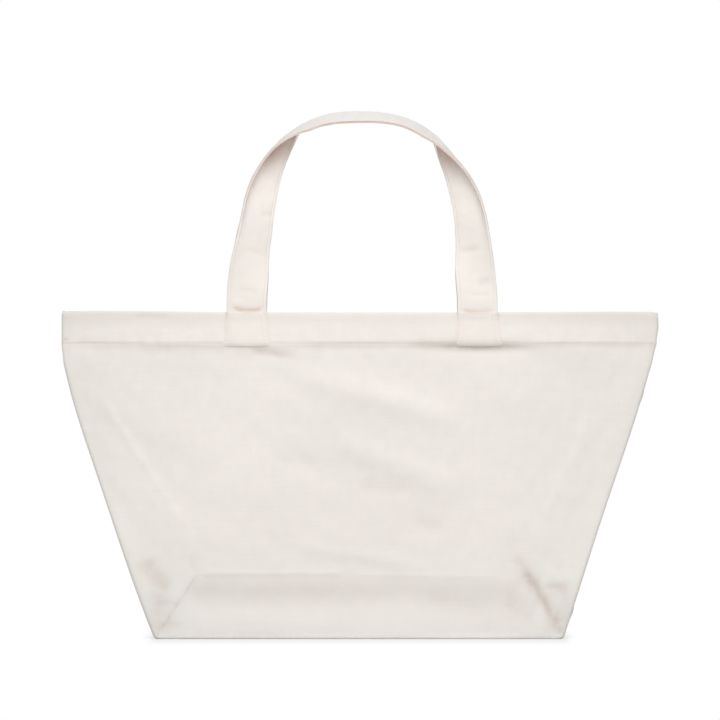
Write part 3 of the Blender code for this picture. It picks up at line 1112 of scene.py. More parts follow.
        # Painted shade, darker towards the bottom of the face
        soil += self.low_soil * (1 - smooth_step(z / self.low_reach))
        from_stitch = z - self.stitch_height
        out += Ripple(*self.pucker, self.seed + 2).shape(x, z * 0.2) * bell(from_stitch, self.pucker_width)
        line = bell(from_stitch, self.groove_width)
        out -= self.groove * line
        soil += self.groove_soil * line * (0.6 + 0.4 * np.sin(math.tau * x / self.stitch_pitch))
        out *= smooth_step(z / self.flat_foot)
        return out, limit(soil), limit(pale)

    def gusset_relief(self, depth: Table, z: Table, side: Side) -> Table:
        """How far a gusset's cloth stands out.

        Args:
            depth: Distance from the bag's middle plane.
            z: Heights.
            side: Left or right.

        Returns:
            Heights of the relief in metres.
        """
        out = Ripple(*self.gusset_swell, self.seed + 20 + side.value).shape(depth, z)
        for crease in GUSSET_CREASES:
            out += crease.shape(depth, z)[0]
        return out * smooth_step(z / 0.012) * smooth_step((0.29 - z) / 0.05)

    def displaced(self, section: Table, heights: Table, side: Side) -> tuple[Table, Marks]:
        """A half section with its creases, and the numbers that the finish reads.

        Args:
            section: Reach and depth, as rows, columns and two coordinates.
            heights: One height for each row.
            side: Left or right.

        Returns:
            The section moved, and the finish's numbers by name.
        """
        grain = self.grain
        run = np.gradient(section, axis=1)
        normal = unit(np.stack([-run[..., 1], run[..., 0]], axis=-1))
        z = np.broadcast_to(heights[:, None], section.shape[:2])
        x, depth = section[..., 0], section[..., 1]
        fold_x = x[:, grain.face][:, None]
        stand, soil, pale = self.relief(side.value * x, z)
        face = 1 - smooth_step((x - fold_x + self.face_margin) / self.face_margin)
        column = np.arange(grain.columns)[None, :]
        face = np.where(column <= grain.face, face, 0.0)
        first, last = grain.face + grain.fold, grain.columns - grain.lip - 1
        span = limit((column - first) / (last - first))
        side_share = smooth_step(span * 4) * smooth_step((1 - span) * 5)
        out = stand * face + self.gusset_relief(depth, z, side) * side_share
        travel = travel_along(section)
        # Painted shade with wear along the fold between face and gusset
        edge = bell(travel - travel[:, grain.corner][:, None], self.fold_width)
        edge = self.fold_tint * edge * smooth_step((self.shape.height - z) / 0.02)
        outside = 1 - smooth_step((column - grain.face) / grain.fold)
        seam_line = np.where(column >= last, self.seam_soil, 0.0)
        # Painted cool shade low on the face, stronger towards its sides
        cool = (0.5 + 0.5 * smooth_step((x - 0.14) / 0.05)) * (1 - smooth_step((z - 0.02) / 0.09))
        return section + normal * out[..., None], {
            "soil": limit(soil * outside + seam_line), "pale": pale * outside,
            "edge": limit(edge), "cool": cool * outside}

    def dropped(self, x: Table, z: Table, side: Side) -> Table:
        """Heights with the mouth's corners eased down, as the cloth turns in at the side seams.

        Args:
            x: Distances from the bag's middle.
            z: Heights.
            side: Left or right.

        Returns:
            The heights, eased.
        """
        shape, right = self.shape, side is Side.RIGHT
        end = shape.mouth_width / 2 + (shape.right_bow if right else shape.left_bow).mouth
        over = limit((x - end + self.drop_width) / self.drop_width)
        ease = self.drops[right] * (1 - np.sqrt(1 - over**2 * 0.999))
        ease = ease - self.crowns[right] * bell(x - self.crown_place, self.crown_spread)
        return z - ease * smooth_step((z - shape.hem_bottom) / shape.hem_height)

    def wall(self) -> tuple[Table, Table, Marks]:
        """The wall's points, cloth places and finish numbers, from the left seam to the right."""
        heights, insets = self.rows()
        halves = []
        for side in Side:
            section = self.shape.half_section(heights, insets, side, self.grain)
            moved, marks = self.displaced(section, heights, side)
            z = np.broadcast_to(heights[:, None], moved.shape[:2])
            z = self.dropped(moved[..., 0], z, side)
            points = np.stack([side.value * moved[..., 0], self.facing.value * moved[..., 1], z], axis=-1)
            halves.append((points, side.value * travel_along(section), *marks.values()))
        left, right = halves
        points, across, *numbers = (np.concatenate([a[:, :0:-1], b], axis=1) for a, b in zip(left, right))
        up = travel_along(points[:, self.grain.columns - 1])[:, None]
        cloth = np.stack([across, np.broadcast_to(up, across.shape)], axis=-1)
        return points, cloth, dict(zip(marks, numbers))

    def base(self, ring: Table) -> Tables:
        """Half of the base, laid between the wall's lowest ring and the middle seam.

        Args:
            ring: The wall's lowest row of points.

        Returns:
            The base's points and their places on the cloth.
        """
        corner = self.grain.corner
        middle = self.grain.columns - 1
        first, last = middle - corner, middle + corner
        front = ring[first:last + 1]
        left, right = ring[first::-1], ring[last:]
        across = np.linspace(0.0, 1.0, len(front))[:, None]
        seam = left[-1] + (right[-1] - left[-1]) * across
        u = np.broadcast_to(across[None, :, :], (len(left), len(front), 1))
        v = np.linspace(0.0, 1.0, len(left))[:, None, None]
        points = (1 - v) * front[None] + v * seam[None]
        points = points + (1 - u) * left[:, None] + u * right[:, None]
        points = points - (1 - u) * ((1 - v) * left[0] + v * left[-1])
        points = points - u * ((1 - v) * right[0] + v * right[-1])
        cloth = np.stack([points[..., 0], np.abs(points[..., 1]) - self.shape.base_depth / 2], axis=-1)
        return points, cloth

    def surface(self, x: Table, z: Table) -> Tables:
        """Places on the face's outside and the directions that they face.

        Args:
            x: Places across, from the bag's middle.
            z: Heights.

        Returns:
            Points and unit normals, one row each.
        """
        shape = self.shape
        left = x < 0
        swell = np.where(left, shape.bow(z, Side.LEFT), shape.bow(z, Side.RIGHT))
        reach = shape.side_reach(z) + swell
        bulge, slope = shape.bulge(x, z, reach)
        normal = unit(np.stack([slope, np.full(x.shape, 1.0)], axis=-1))
        bend = np.minimum(shape.fold_bend, shape.fold_share * shape.fold_depth(z))
        face = 1 - smooth_step((np.abs(x) - reach + bend + self.face_margin) / self.face_margin)
        stand = self.relief(x, z)[0] * face
        depth = shape.fold_depth(z) + bulge + normal[:, 1] * stand
        points = np.stack([x + normal[:, 0] * stand, self.facing.value * depth, z], axis=-1)
        facing = np.stack([normal[:, 0], self.facing.value * normal[:, 1], np.zeros(len(x))], axis=-1)
        return points, facing

    def flat_size(self) -> tuple[Two, float]:
        """The sheet's flat width and length, and its flat area."""
        heights, insets = self.rows()
        section = self.shape.half_section(heights, insets, Side.RIGHT, self.grain)
        widths = 2 * travel_along(section)[:, -1]
        up = travel_along(np.stack([self.shape.middle_depth(heights) - insets, heights], axis=-1))
        base_length = self.shape.base_depth / 2 - self.shape.pressed_bend
        area = float(np.sum((widths[1:] + widths[:-1]) / 2 * np.diff(up)))
        area += base_length * (self.shape.base_width - 2 * self.shape.pressed_bend)
        return (float(widths.max()), float(up[-1] + base_length)), area

    def build(self, finish: Material) -> Piece:
        """Models the sheet and fits it over its CAD nodes.

        Args:
            finish: The canvas.

        Returns:
            The sheet.
        """
        word = self.facing.word
        points, cloth, marks = self.wall()
        piece = Workbench.sheet(f"{word}_canvas", points, cloth, marks)
        base_points, base_cloth = self.base(points[0])
        clean = np.zeros(base_points.shape[:2])
        base = Workbench.sheet(f"{word}_base_half", base_points, base_cloth, dict.fromkeys(marks, clean))
        Workbench.focus(piece, base)
        bpy.ops.object.join()
        Workbench.rework(piece, bpy.ops.mesh.remove_doubles, threshold=SHEET_MERGE)
        Workbench.face_out(piece)
        middle = min(piece.data.polygons, key=lambda f: abs(f.center.x) + abs(f.center.z - 0.15))
        if middle.normal.y * self.facing.value < 0:
            Workbench.rework(piece, bpy.ops.mesh.flip_normals)
        Workbench.thicken(piece, self.shape.canvas)
        Workbench.dress(piece, finish)
        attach(piece, "bag")
        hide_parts(f"{word}_panel", f"{word}_hem")
        return piece


@dataclass(frozen=True)
class StitchRow:
    """A row of stitches, each a short spindle of thread that dips into the cloth at both ends.

    Attributes:
        centres: The stitches' middles.
        along: Unit directions in which they run.
        up: Unit directions away from the cloth.
        length: Length of a stitch.
        width: Its width.
    """

    centres: Table
    along: Table
    up: Table
    length: float = 0.0025
    width: float = 0.0006

    def points(self, spindle: Table) -> Table:
        """The spindle's points at every stitch.

        Args:
            spindle: Points of a ball of radius 1.

        Returns:
            Points, as stitches, corners and three coordinates.
        """
        aside = unit(np.cross(self.up, self.along))
        up = np.cross(self.along, aside)
        scaled = spindle * np.array([self.length / 2, self.width / 2, self.width / 2])
        turned = scaled[None, :, 0:1] * self.along[:, None]
        turned = turned + scaled[None, :, 1:2] * aside[:, None] + scaled[None, :, 2:3] * up[:, None]
        return self.centres[:, None] + turned


class Stitching:
    """Thread, laid stitch by stitch from one spindle."""

    def __init__(self) -> None:
        """Models the spindle that every stitch copies."""
        Workbench.deselect()
        bpy.ops.mesh.primitive_uv_sphere_add(segments=6, ring_count=4, radius=1.0,
                                             rotation=(0.0, math.pi / 2, 0.0))
        ball = bpy.context.active_object
        bpy.ops.object.transform_apply(location=True, rotation=True, scale=True)
        self.spindle = np.array([v.co for v in ball.data.vertices], float)
        self.faces = [list(f.vertices) for f in ball.data.polygons]
        bpy.data.objects.remove(ball)

    def lay(self, name: str, rows: list[StitchRow], finish: Material) -> Piece:
        """One piece that holds several rows of stitches.

        Args:
            name: The piece's name.
            rows: The rows.
            finish: The thread.

        Returns:
            The stitches.
        """
        points = np.concatenate([row.points(self.spindle).reshape(-1, 3) for row in rows])
        faces = [[corner + first for corner in face]
                 for first in range(0, len(points), len(self.spindle)) for face in self.faces]
        mesh = bpy.data.meshes.new(name)
        mesh.from_pydata(points.tolist(), [], faces)
        piece = bpy.data.objects.new(name, mesh)
        bpy.context.scene.collection.objects.link(piece)
        Workbench.face_out(piece)
        Workbench.dress(piece, finish)
        return piece

    def hem_row(self, panel: Panel, finish: Material) -> Piece:
        """The row that holds down the hem, on the outside and on the inside of one sheet.

        Args:
            panel: The sheet.
            finish: The thread.

        Returns:
            The stitches.
        """
        reach = panel.shape.mouth_width / 2 - 0.006
        x = np.arange(-reach, reach, panel.stitch_pitch)
        points, up = panel.surface(x, np.full(len(x), panel.stitch_height))
        along = unit(np.gradient(points, axis=0))
        outer = StitchRow(points + up * THREAD_PROUD, along, up)
        inner = StitchRow(points - up * (2 * panel.roll + THREAD_PROUD), along, -up)
        piece = self.lay(f"{panel.facing.word}_hem_stitches", [outer, inner], finish)
        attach(piece, "bag")
        return piece


# Wrinkles of the front strap's legs, as places out from its middle and up from the mouth, with painted shade
# along their lines
LEFT_LEG_WRINKLES = creases(
    ((16.5, 6, -1, 2, -17.5, 4.4), -1, 1.6, 0.46, 0.2),
    ((16, 4.7, -1, 0.7, -17, 3.1), 0, 1.8, 0.5, 0.2),
    ((13, 20.5, -12, 22.5), -0.7, 3, 0.08),
    ((-6, 103.5, -19.5, 107), -0.5, 2.8, 0.14, 0.2),
    ((18, 0.4, -18, 0.4), 0.3, 1, 0, 0.05),
    ((18, 15.5, -4, 14), -0.5, 2.2, 0.05),
    ((10, 66, -18, 62.5), -0.5, 3, 0.05),
    ((-4, 104, -19, 108), -0.3, 3.6, 0.06),
)
RIGHT_LEG_WRINKLES = creases(
    ((18.5, 2, -2, 0.6, -17, 2.6), -0.8, 1.6, 0.34, 0.2),
    ((18, 1, -2, -0.2, -16.5, 1.4), 0, 1.6, 0.34, 0.2),
    ((15, 30.5, -1, 30), -0.6, 3.6, 0.16),
    ((6, 64.5, -18.5, 65.5), -0.6, 3, 0.16),
    ((18, 0.4, -18, 0.4), 0.3, 1, 0, 0.05),
    ((16, 16.5, -10, 18), -0.5, 2.2, 0.05),
    ((18, 31.5, 0, 33.5), -0.3, 3, 0.06),
    ((12, 64, -18, 66), -0.3, 3.4, 0.06),
)
# Wrinkles of the back strap's legs, with painted shade along their lines
BACK_LEG_WRINKLES = creases(
    ((17, 3.2, -15, 3.8), -0.7, 1.8, 0.14),
    ((4, 21, -19, 22.5), -0.5, 2.4, 0.05),
    ((18, 56, -8, 53), -0.6, 3, 0.05),
)


@dataclass(frozen=True)
class Turn:
    """How one leg of a strap turns up on its edge on its way to the arch.

    The leg leans a little, and its outer part stands up away from the bag along a slanting fold.
    The fold starts at the leg's outer edge and has crossed to its inner edge below the arch, so
    that there the whole strap stands on edge, with its far edge leaning inwards.

    Attributes:
        start: Travel up the leg at which the fold starts.
        length: Travel from there to the fold's end.
        run: How far the fold moves across the strap in that length.
        roll: Length of cloth in the fold's round where it ends; lower down it is rounder.
        lean: Turn of the part inside the fold.
        stand: Turn of the part outside the fold, low on the leg.
        top_stand: Its turn at the arch's top.
        rising: Travel at which it starts to turn from the one to the other.
        rise: Travel that this takes.
        shade: Painted shade and painted warm light in the hollow beside the fold, as a share of the usual.
    """

    start: float = 0.04
    length: float = 0.19
    run: float = 0.0505
    roll: float = 0.012
    lean: float = math.radians(26)
    stand: float = math.radians(91)
    top_stand: float = math.radians(103.5)
    rising: float = 0.163
    rise: float = 0.052
    shade: float = 1.0

    def fold(self, travel: Table, half: float) -> Table:
        """Place of the fold across the strap, at each travel up the leg."""
        share = np.maximum((travel - self.start) / self.length, 0.0)
        return half - self.run * (0.3 * share + 0.7 * share**4)

    def angles(self, travel: Table, across: Table, half: float) -> Table:
        """The cloth's turn away from the plane of the mouth.

        Args:
            travel: Travel up the leg of each ring.
            across: Places across the strap, positive on the outer side.
            half: Half of the strap's width.

        Returns:
            Angles, as rings and places.
        """
        up = travel[:, None]
        lean = self.lean * smooth_step((up - 0.015) / 0.062)
        stand = self.stand + (self.top_stand - self.stand) * smooth_step((up - self.rising) / self.rise)
        stand = lean + (stand - lean) * smooth_step((up - self.start) / 0.07)
        roll = self.roll * (1.6 - 0.6 * smooth_step((up - self.start) / self.length))
        folded = smooth_step((across[None, :] - self.fold(up, half)) / roll + 0.5)
        return lean + (stand - lean) * folded


@dataclass(frozen=True)
class Arch:
    """One half of the loop's outline.

    Attributes:
        across: Power of its rounding sideways.
        up: Power of its rounding upwards.
        sways: Where it strays from that curve, each as a height, a distance outwards and a spread.
    """

    across: float
    up: float
    sways: tuple[Three, ...] = ()

    def line(self, spread: float, rise: float) -> Table:
        """Places from the foot to the top, outwards and up, closely spaced.

        Args:
            spread: Reach of the foot.
            rise: Height of the top.

        Returns:
            The places, one row each.
        """
        turn = np.linspace(0.0, math.pi / 2, 2001)
        out, up = spread * np.cos(turn) ** (2 / self.across), rise * np.sin(turn) ** (2 / self.up)
        out[-1] = 0.0
        for height, reach, length in self.sways:
            out = out + reach * bell(up - height, length) * smooth_step(up / 0.03)
        return np.stack([out, up], axis=1)


@dataclass(frozen=True)
class Skin:
    """A strap's middle surface, as rings of fibres.

    Attributes:
        points: Places, as rings, fibres and coordinates.
        normals: Unit directions away from the leg's front.
        half: Half of the strap's width at each ring.
        travel: Travel along the strap to each ring.
        first: Travel up the first leg.
        second: Travel up the second leg.
    """

    points: Table
    normals: Table
    half: Table
    travel: Table
    first: Table
    second: Table

    def read(self, ring: Table, share: Table) -> Tables:
        """Places on the surface and the directions away from it.

        Args:
            ring: Ring numbers, whole or not.
            share: Shares of the half width, from -1 at the inner edge to 1 at the outer.

        Returns:
            Points and unit normals.
        """
        ring, share = np.broadcast_arrays(ring, share)
        rings, fibres = self.points.shape[:2]
        column = limit((share + 1) / 2) * (fibres - 1)
        low_ring = np.clip(np.floor(ring), 0, rings - 2).astype(int)
        low_column = np.clip(np.floor(column), 0, fibres - 2).astype(int)
        up, over = (ring - low_ring)[..., None], (column - low_column)[..., None]
        found = []
        for table in (self.points, self.normals):
            low = table[low_ring, low_column] * (1 - over) + table[low_ring, low_column + 1] * over
            high = table[low_ring + 1, low_column] * (1 - over) + table[low_ring + 1, low_column + 1] * over
            found.append(low * (1 - up) + high * up)
        return found[0], unit(found[1])


@dataclass(frozen=True)
class Strap:
    """A folded strap, sewn flat to the band at both ends and turned on edge between them.

    Attributes:
        panel: The sheet that it is sewn to.
        wrinkles: Creases of the leg where it starts and of the leg where it ends.
        turns: How each leg turns.
        seed: Start of its random unevenness.
        lift: How much higher the loop's top stands than in the CAD.
        slants: How far each sewn end runs to the right on its way down.
        lit: Travel up a leg where its front gets painted light.
        crossing: Travel up a leg where the shaded hollow beside its fold gets painted warm light.
        edge_tint: Shares of the half thickness on the edge, and how strongly each is tinted.
    """

    panel: Panel
    wrinkles: tuple[tuple[Crease, ...], tuple[Crease, ...]]
    turns: tuple[Turn, Turn]
    seed: int
    lift: float = 0.0
    slants: Two = (0.0006, 0.0024)
    arches: tuple[Arch, Arch] = (Arch(2.64, 2.05, ((0.135, 0.0006, 0.024), (0.08, -0.0016, 0.03),
                                                   (0.176, -0.0013, 0.014))),
                                 Arch(2.39, 2.23, ((0.112, 0.0012, 0.024), (0.05, -0.0011, 0.024),
                                                   (0.162, -0.0021, 0.018))))
    width: float = 0.04
    sewn_width: float = 0.0464
    flex_gap: float = 0.0006
    ring_step: float = 0.0021
    sewn_rings: int = 20
    end_gap: float = 0.0008
    end_bow: float = 0.0007
    stitch_inset: float = 0.0033
    groove: float = 0.0003
    stitch_pitch: float = 0.0031
    sewn_face: float = 0.4
    fibres: int = 81
    swell: Three = (0.0005, 0.16, 0.05)
    ripple: Three = (0.0001, 0.03, 0.01)
    lit: Stretch = Stretch(0.085, 0.035, 0.165, 0.03)
    crossing: Stretch = Stretch(0.138, 0.032, 0.215, 0.02)
    hold_height: float = 0.014
    pressed_side: float = 0.78
    pressed_end: float = 0.003
    stitch_line: float = 0.0007
    # Painted warm light where the fold crosses the strap, and a painted highlight where the strap bends over
    # the mouth
    crossing_width: float = 0.016
    crossing_tint: float = 0.74
    crossing_pale: float = 1.1
    root_pale: float = 0.9
    root_width: float = 0.0016
    edge_tint: tuple[tuple[float, ...], ...] = ((-1.0, -0.93, -0.62, -0.36, 0.0, 0.36, 0.62),
                                                (0.0, 0.25, 1.0, 1.0, 0.6, 0.15, 0.0))

    @property
    def shape(self) -> BagShape:
        """The bag's sizes."""
        return self.panel.shape

    @property
    def half_thickness(self) -> float:
        """Half of the strap's thickness."""
        return self.shape.strap_thickness / 2

    @property
    def sewn_end(self) -> float:
        """Height of a sewn end's lower edge."""
        return self.shape.height - self.shape.sewn_height + self.end_gap

    def outline(self) -> Table:
        """Evenly spaced places along the loop's outer outline, across and up from the mouth's middle."""
        spread = (self.shape.handle_spacing + self.width) / 2
        rise = self.shape.handle_rise + self.half_thickness
        rise += self.width / 2 * abs(math.cos(self.turns[0].top_stand)) + self.lift
        left, right = (arch.line(spread, rise) for arch in self.arches)
        return evenly(np.concatenate([left * (-1, 1), right[-2::-1]]), self.ring_step)

    def route(self) -> Table:
        """Places along the strap's outer outline, from one sewn end to the other."""
        shape, facing = self.shape, self.panel.facing.value
        sewn_depth = shape.clearance + self.half_thickness
        up = np.linspace(self.sewn_end, shape.height - 0.0004, self.sewn_rings)
        depth = shape.middle_depth(up) + sewn_depth
        half = (shape.handle_spacing + self.width) / 2
        down = (shape.height - up) / shape.sewn_height
        ends = [np.stack([shape.handle_offset + s * half + slant * down, facing * depth, up], axis=1)
                for s, slant in zip((-1, 1), self.slants)]
        loop = self.outline()
        loop = np.stack([shape.handle_offset + loop[:, 0],
                         np.full(len(loop), facing * (shape.mouth_depth / 2 + sewn_depth)),
                         shape.height + self.flex_gap + loop[:, 1]], axis=1)
        return np.concatenate([ends[0], loop, ends[1][::-1]])

    def widths(self, z: Table) -> Table:
        """The strap's width at each ring's height, wider where it is sewn down."""
        sewn = limit((self.shape.height - 0.001 - z) / (self.shape.sewn_height - 0.004))
        round_off = 0.0016 * (1 - np.sqrt(limit((z - self.sewn_end) / self.pressed_end)))
        return self.width + (self.sewn_width - self.width) * sewn - round_off

    def skin(self) -> Skin:
        """The strap's middle surface."""
        outer = self.route()
        along = unit(np.gradient(outer, axis=0))
        along[: self.sewn_rings + 1] = (0.0, 0.0, 1.0)
        along[-self.sewn_rings - 1:] = (0.0, 0.0, -1.0)
        along[:, 1] = 0.0
        along = unit(along)
        travel = travel_along(outer)
        first = travel - travel[self.sewn_rings]
        second = first[::-1]
        half = self.width / 2
        across = np.linspace(-half, half, self.fibres)
        legs = [turn.angles(up, across, half) for turn, up in zip(self.turns, (first, second))]
        angle = np.where((first < second)[:, None], *legs)
        mean = (angle[:, 1:] + angle[:, :-1]) / 2
        step, start = across[1] - across[0], np.zeros((len(angle), 1))
        reach = np.concatenate([start, np.cumsum(np.cos(mean), axis=1) * step], axis=1)
        depth = np.concatenate([start, np.cumsum(np.sin(mean), axis=1) * step], axis=1)
        reach -= (reach + np.sin(angle) * self.half_thickness).max(axis=1, keepdims=True)
        depth -= depth.mean(axis=1, keepdims=True)
        width = self.widths(outer[:, 2])
        reach = (reach + half) * (width / self.width)[:, None] - half
        outwards = np.stack([-along[:, 2], np.zeros(len(along)), along[:, 0]], axis=1)[:, None]
        away = np.array([0.0, self.panel.facing.value, 0.0])
        points = outer[:, None] + outwards * reach[..., None] + away * depth[..., None]
        tangent = outwards * np.cos(angle)[..., None] + away * np.sin(angle)[..., None]
        return Skin(points, np.cross(along[:, None], tangent), width / 2, travel, first, second)

    def profile(self, half: Table) -> Tables:
        """The section's places across the strap, and their shares of its half thickness.

        Args:
            half: Half of the width at each ring, as a column.

        Returns:
            Places, as rings and columns, and one share for each column.
        """
        inset = self.stitch_inset
        dip = 1.0 - self.groove / self.half_thickness
        from_edge = np.array([0.0, 0.00007, 0.00022, 0.0008, 0.002, inset - 0.0005, inset,
                              inset + 0.0005, inset + 0.0013, 0.0062])
        level = np.array([0.0, 0.36, 0.62, 0.93, 1.02, 0.5 + dip / 2, dip, 0.5 + dip / 2, 1.01, 1.0])
        inner = np.linspace(-1.0, 1.0, 17)[None, 1:-1] * (half - from_edge[-1])
        outer = half - from_edge
        top_u = np.concatenate([outer, -inner, -outer[:, ::-1]], axis=1)
        top_v = np.concatenate([level, np.ones(inner.shape[1]), level[::-1]])
        below = slice(-2, 0, -1)
        return np.concatenate([top_u, top_u[:, below]], axis=1), np.concatenate([top_v, -top_v[below]])

    def bends(self, first: Table, second: Table, across: Table) -> Tables:
        """How far the strap's wrinkles push it along its face, and their painted shade.

        Args:
            first: Travel up the first leg, as a column.
            second: Travel up the second leg, as a column.
            across: Places across the strap, as rings and columns.

        Returns:
            Heights in metres and painted shade, as rings and columns.
        """
        out, soil = np.zeros(across.shape), np.zeros(across.shape)
        for leg, folds in zip((first, second), self.wrinkles):
            up = np.broadcast_to(leg, across.shape)
            for crease in folds:
                stand, dirt_and_shade = crease.shape(across, up)
                out += stand
                soil += dirt_and_shade
        free = smooth_step(np.minimum(first, second) / 0.02)
        along = np.broadcast_to(first, across.shape)
        out += free * Ripple(*self.swell, self.seed).shape(across, along)
        out += free * Ripple(*self.ripple, self.seed + 1).shape(across, along)
        return out, soil

    def held(self, z: Table) -> Table:
        """How firmly the band holds the strap at each height, from 0 to 1."""
        return smooth_step((self.shape.height + self.hold_height - z) / self.hold_height)

    def sewn_level(self, height: Table, share: Table) -> Table:
        """Where a sewn end's outer face lies, in half thicknesses from the strap's middle.

        Args:
            height: Heights.
            share: Shares of the half width, from -1 to 1.

        Returns:
            Levels, which fall towards the band at the end's sides and bottom.
        """
        side = smooth_step((np.abs(share) - self.pressed_side) / 0.22)
        foot = 0.8 * (1 - smooth_step((height - self.sewn_end) / self.pressed_end))
        pressed = np.maximum(side, foot)
        pressed = pressed * smooth_step((self.shape.height + 0.0004 - height) / 0.0026)
        return self.sewn_face - (1 + self.sewn_face) * 0.92 * pressed

    def settled(self, points: Table) -> Table:
        """Points of a sewn end, laid on the band's uneven cloth.

        Args:
            points: The points.

        Returns:
            The points, moved in depth.
        """
        x, z = points[..., 0], points[..., 2]
        stand = self.panel.relief(x, np.minimum(z, self.shape.height))[0]
        stand = stand * smooth_step((self.shape.height - z) / 0.01) * self.held(z)
        laid = points.copy()
        laid[..., 1] += self.panel.facing.value * stand
        return laid

    def rings(self) -> tuple[Table, Table, Marks]:
        """Every ring's points, their cloth places, and the numbers that the finish reads."""
        skin = self.skin()
        first, second, half = (row[:, None] for row in (skin.first, skin.second, skin.half))
        u, v = self.profile(half)
        share = u / half
        points, normals = skin.read(np.arange(len(u))[:, None], share)
        height = points[..., 2].mean(axis=1, keepdims=True)
        sewn = self.held(height)
        front = self.panel.facing.front
        outwards = limit(0.5 + 0.55 * v * front)
        laid = front * (self.sewn_level(height, share) * outwards - 0.98 * (1 - outwards))
        level = v * (1 - sewn) + laid * sewn
        out, soil = self.bends(first, second, u)
        placed = self.settled(points + normals * (self.half_thickness * level + out)[..., None])
        bowed = smooth_step((self.sewn_end + 0.006 - height) / 0.006)
        placed[..., 2] -= self.end_bow * (1 - share**2) * bowed
        around = travel_along(closed(placed))
        along = np.broadcast_to(skin.travel[:, None], around.shape)
        return placed, np.stack([around, along], axis=-1), self.marks(skin, u, v, height, soil)

    def marks(self, skin: Skin, u: Table, v: Table, height: Table, soil: Table) -> Marks:
        """The numbers that the strap's finish reads.

        The cloth is darker along its stitches, with painted shade added where the leg turns, and painted
        shade lies in the hollow beside the fold, which closes on the way up. Where the fold crosses the
        strap that hollow gets painted warm light. Painted light lifts the leg's front below that and the
        bend over the mouth's edge, and painted cool light lies on the turned strap's back face.

        Args:
            skin: The strap's middle surface.
            u: Places across the strap, as rings and columns.
            v: Shares of the half thickness, one for each column.
            height: Each ring's height, as a column.
            soil: Painted shade of the wrinkles, as rings and columns.

        Returns:
            Soiling with painted shade, edge tint with painted warm light, painted light and painted
            cool light by name, as rings and columns.
        """
        first, second, half = (row[:, None] for row in (skin.first, skin.second, skin.half))
        travel, share, sewn = np.minimum(first, second), u / half, self.held(height)
        outer, front = v > 0, self.panel.facing.front
        folds = [turn.fold(leg, half) for turn, leg in zip(self.turns, (first, second))]
        fold = np.where(first < second, *folds)
        shade = np.where(first < second, *(turn.shade for turn in self.turns))
        turned = smooth_step((travel - 0.06) / 0.1)
        closing = smooth_step((0.95 - (fold + half) / self.width) / 0.85)
        # Stitch lines darkened, with painted shade added where the leg turns; sewn ends a little darker
        stitched = bell(np.abs(u) - half + self.stitch_inset, self.stitch_line)
        soil = soil + (0.03 + 0.22 * turned) * stitched * (1 - sewn) + 0.05 * sewn
        # Painted shade in the hollow beside the fold
        hollow = bell(u - fold - 0.005 * closing, 0.011 + 0.01 * closing)
        hollow = hollow * smooth_step((fold + half) / 0.004)
        hollow = hollow * (0.35 + 0.65 * smooth_step((u - fold) / 0.007))
        soil = soil + (0.2 + 0.5 * closing) * (shade * turned * hollow * outer)
        # Painted warm light in that hollow where the fold crosses the strap
        crossing = shade * bell(u - fold - 0.004, self.crossing_width) * outer * self.crossing.at(travel)
        # Painted cool light and painted light on the turned strap's back face, painted light on the leg's
        # front
        cool = turned * (v < -0.9) * (1 - sewn)
        pale = 0.22 * cool + 0.45 * self.lit.at(travel) * (v > 0.3) + self.crossing_pale * crossing
        # Painted highlight where the strap bends over the mouth's edge
        root = bell(height - self.shape.height + 0.0006, self.root_width)
        pale = pale + self.root_pale * root * (v * front > 0.3)
        near = np.interp(v, *self.edge_tint)
        top = smooth_step((travel - 0.19) / 0.05)
        edge = near * (share > 0.95) * (0.18 + 0.52 * turned + 0.3 * top) + 0.15 * (share < -0.98)
        edge = edge * (1 - sewn) + self.crossing_tint * crossing
        return {"soil": limit(soil), "edge": limit(edge), "pale": pale, "cool": cool}

    def stitch_row(self, skin: Skin, travel: Table, u: Table, face: int, lift: Table) -> StitchRow:
        """A row of stitches on one face of the strap.

        Args:
            skin: The strap's middle surface.
            travel: Travel along the strap to each stitch.
            u: Each stitch's place across it.
            face: 1 for the legs' front, -1 for their back.
            lift: Distance from the strap's middle, one for all or one for each stitch.

        Returns:
            The row, whose stitches follow each other.
        """
        ring = np.interp(travel, skin.travel, np.arange(len(skin.travel)))
        half = np.interp(travel, skin.travel, skin.half)
        points, normals = skin.read(ring, u / half)
        first, second = (np.interp(travel, skin.travel, leg) for leg in (skin.first, skin.second))
        out = self.bends(first[:, None], second[:, None], u[:, None])[0][:, 0]
        points = self.settled(points + normals * (out + face * lift)[:, None])
        return StitchRow(points, unit(np.gradient(points, axis=0)), normals * face)

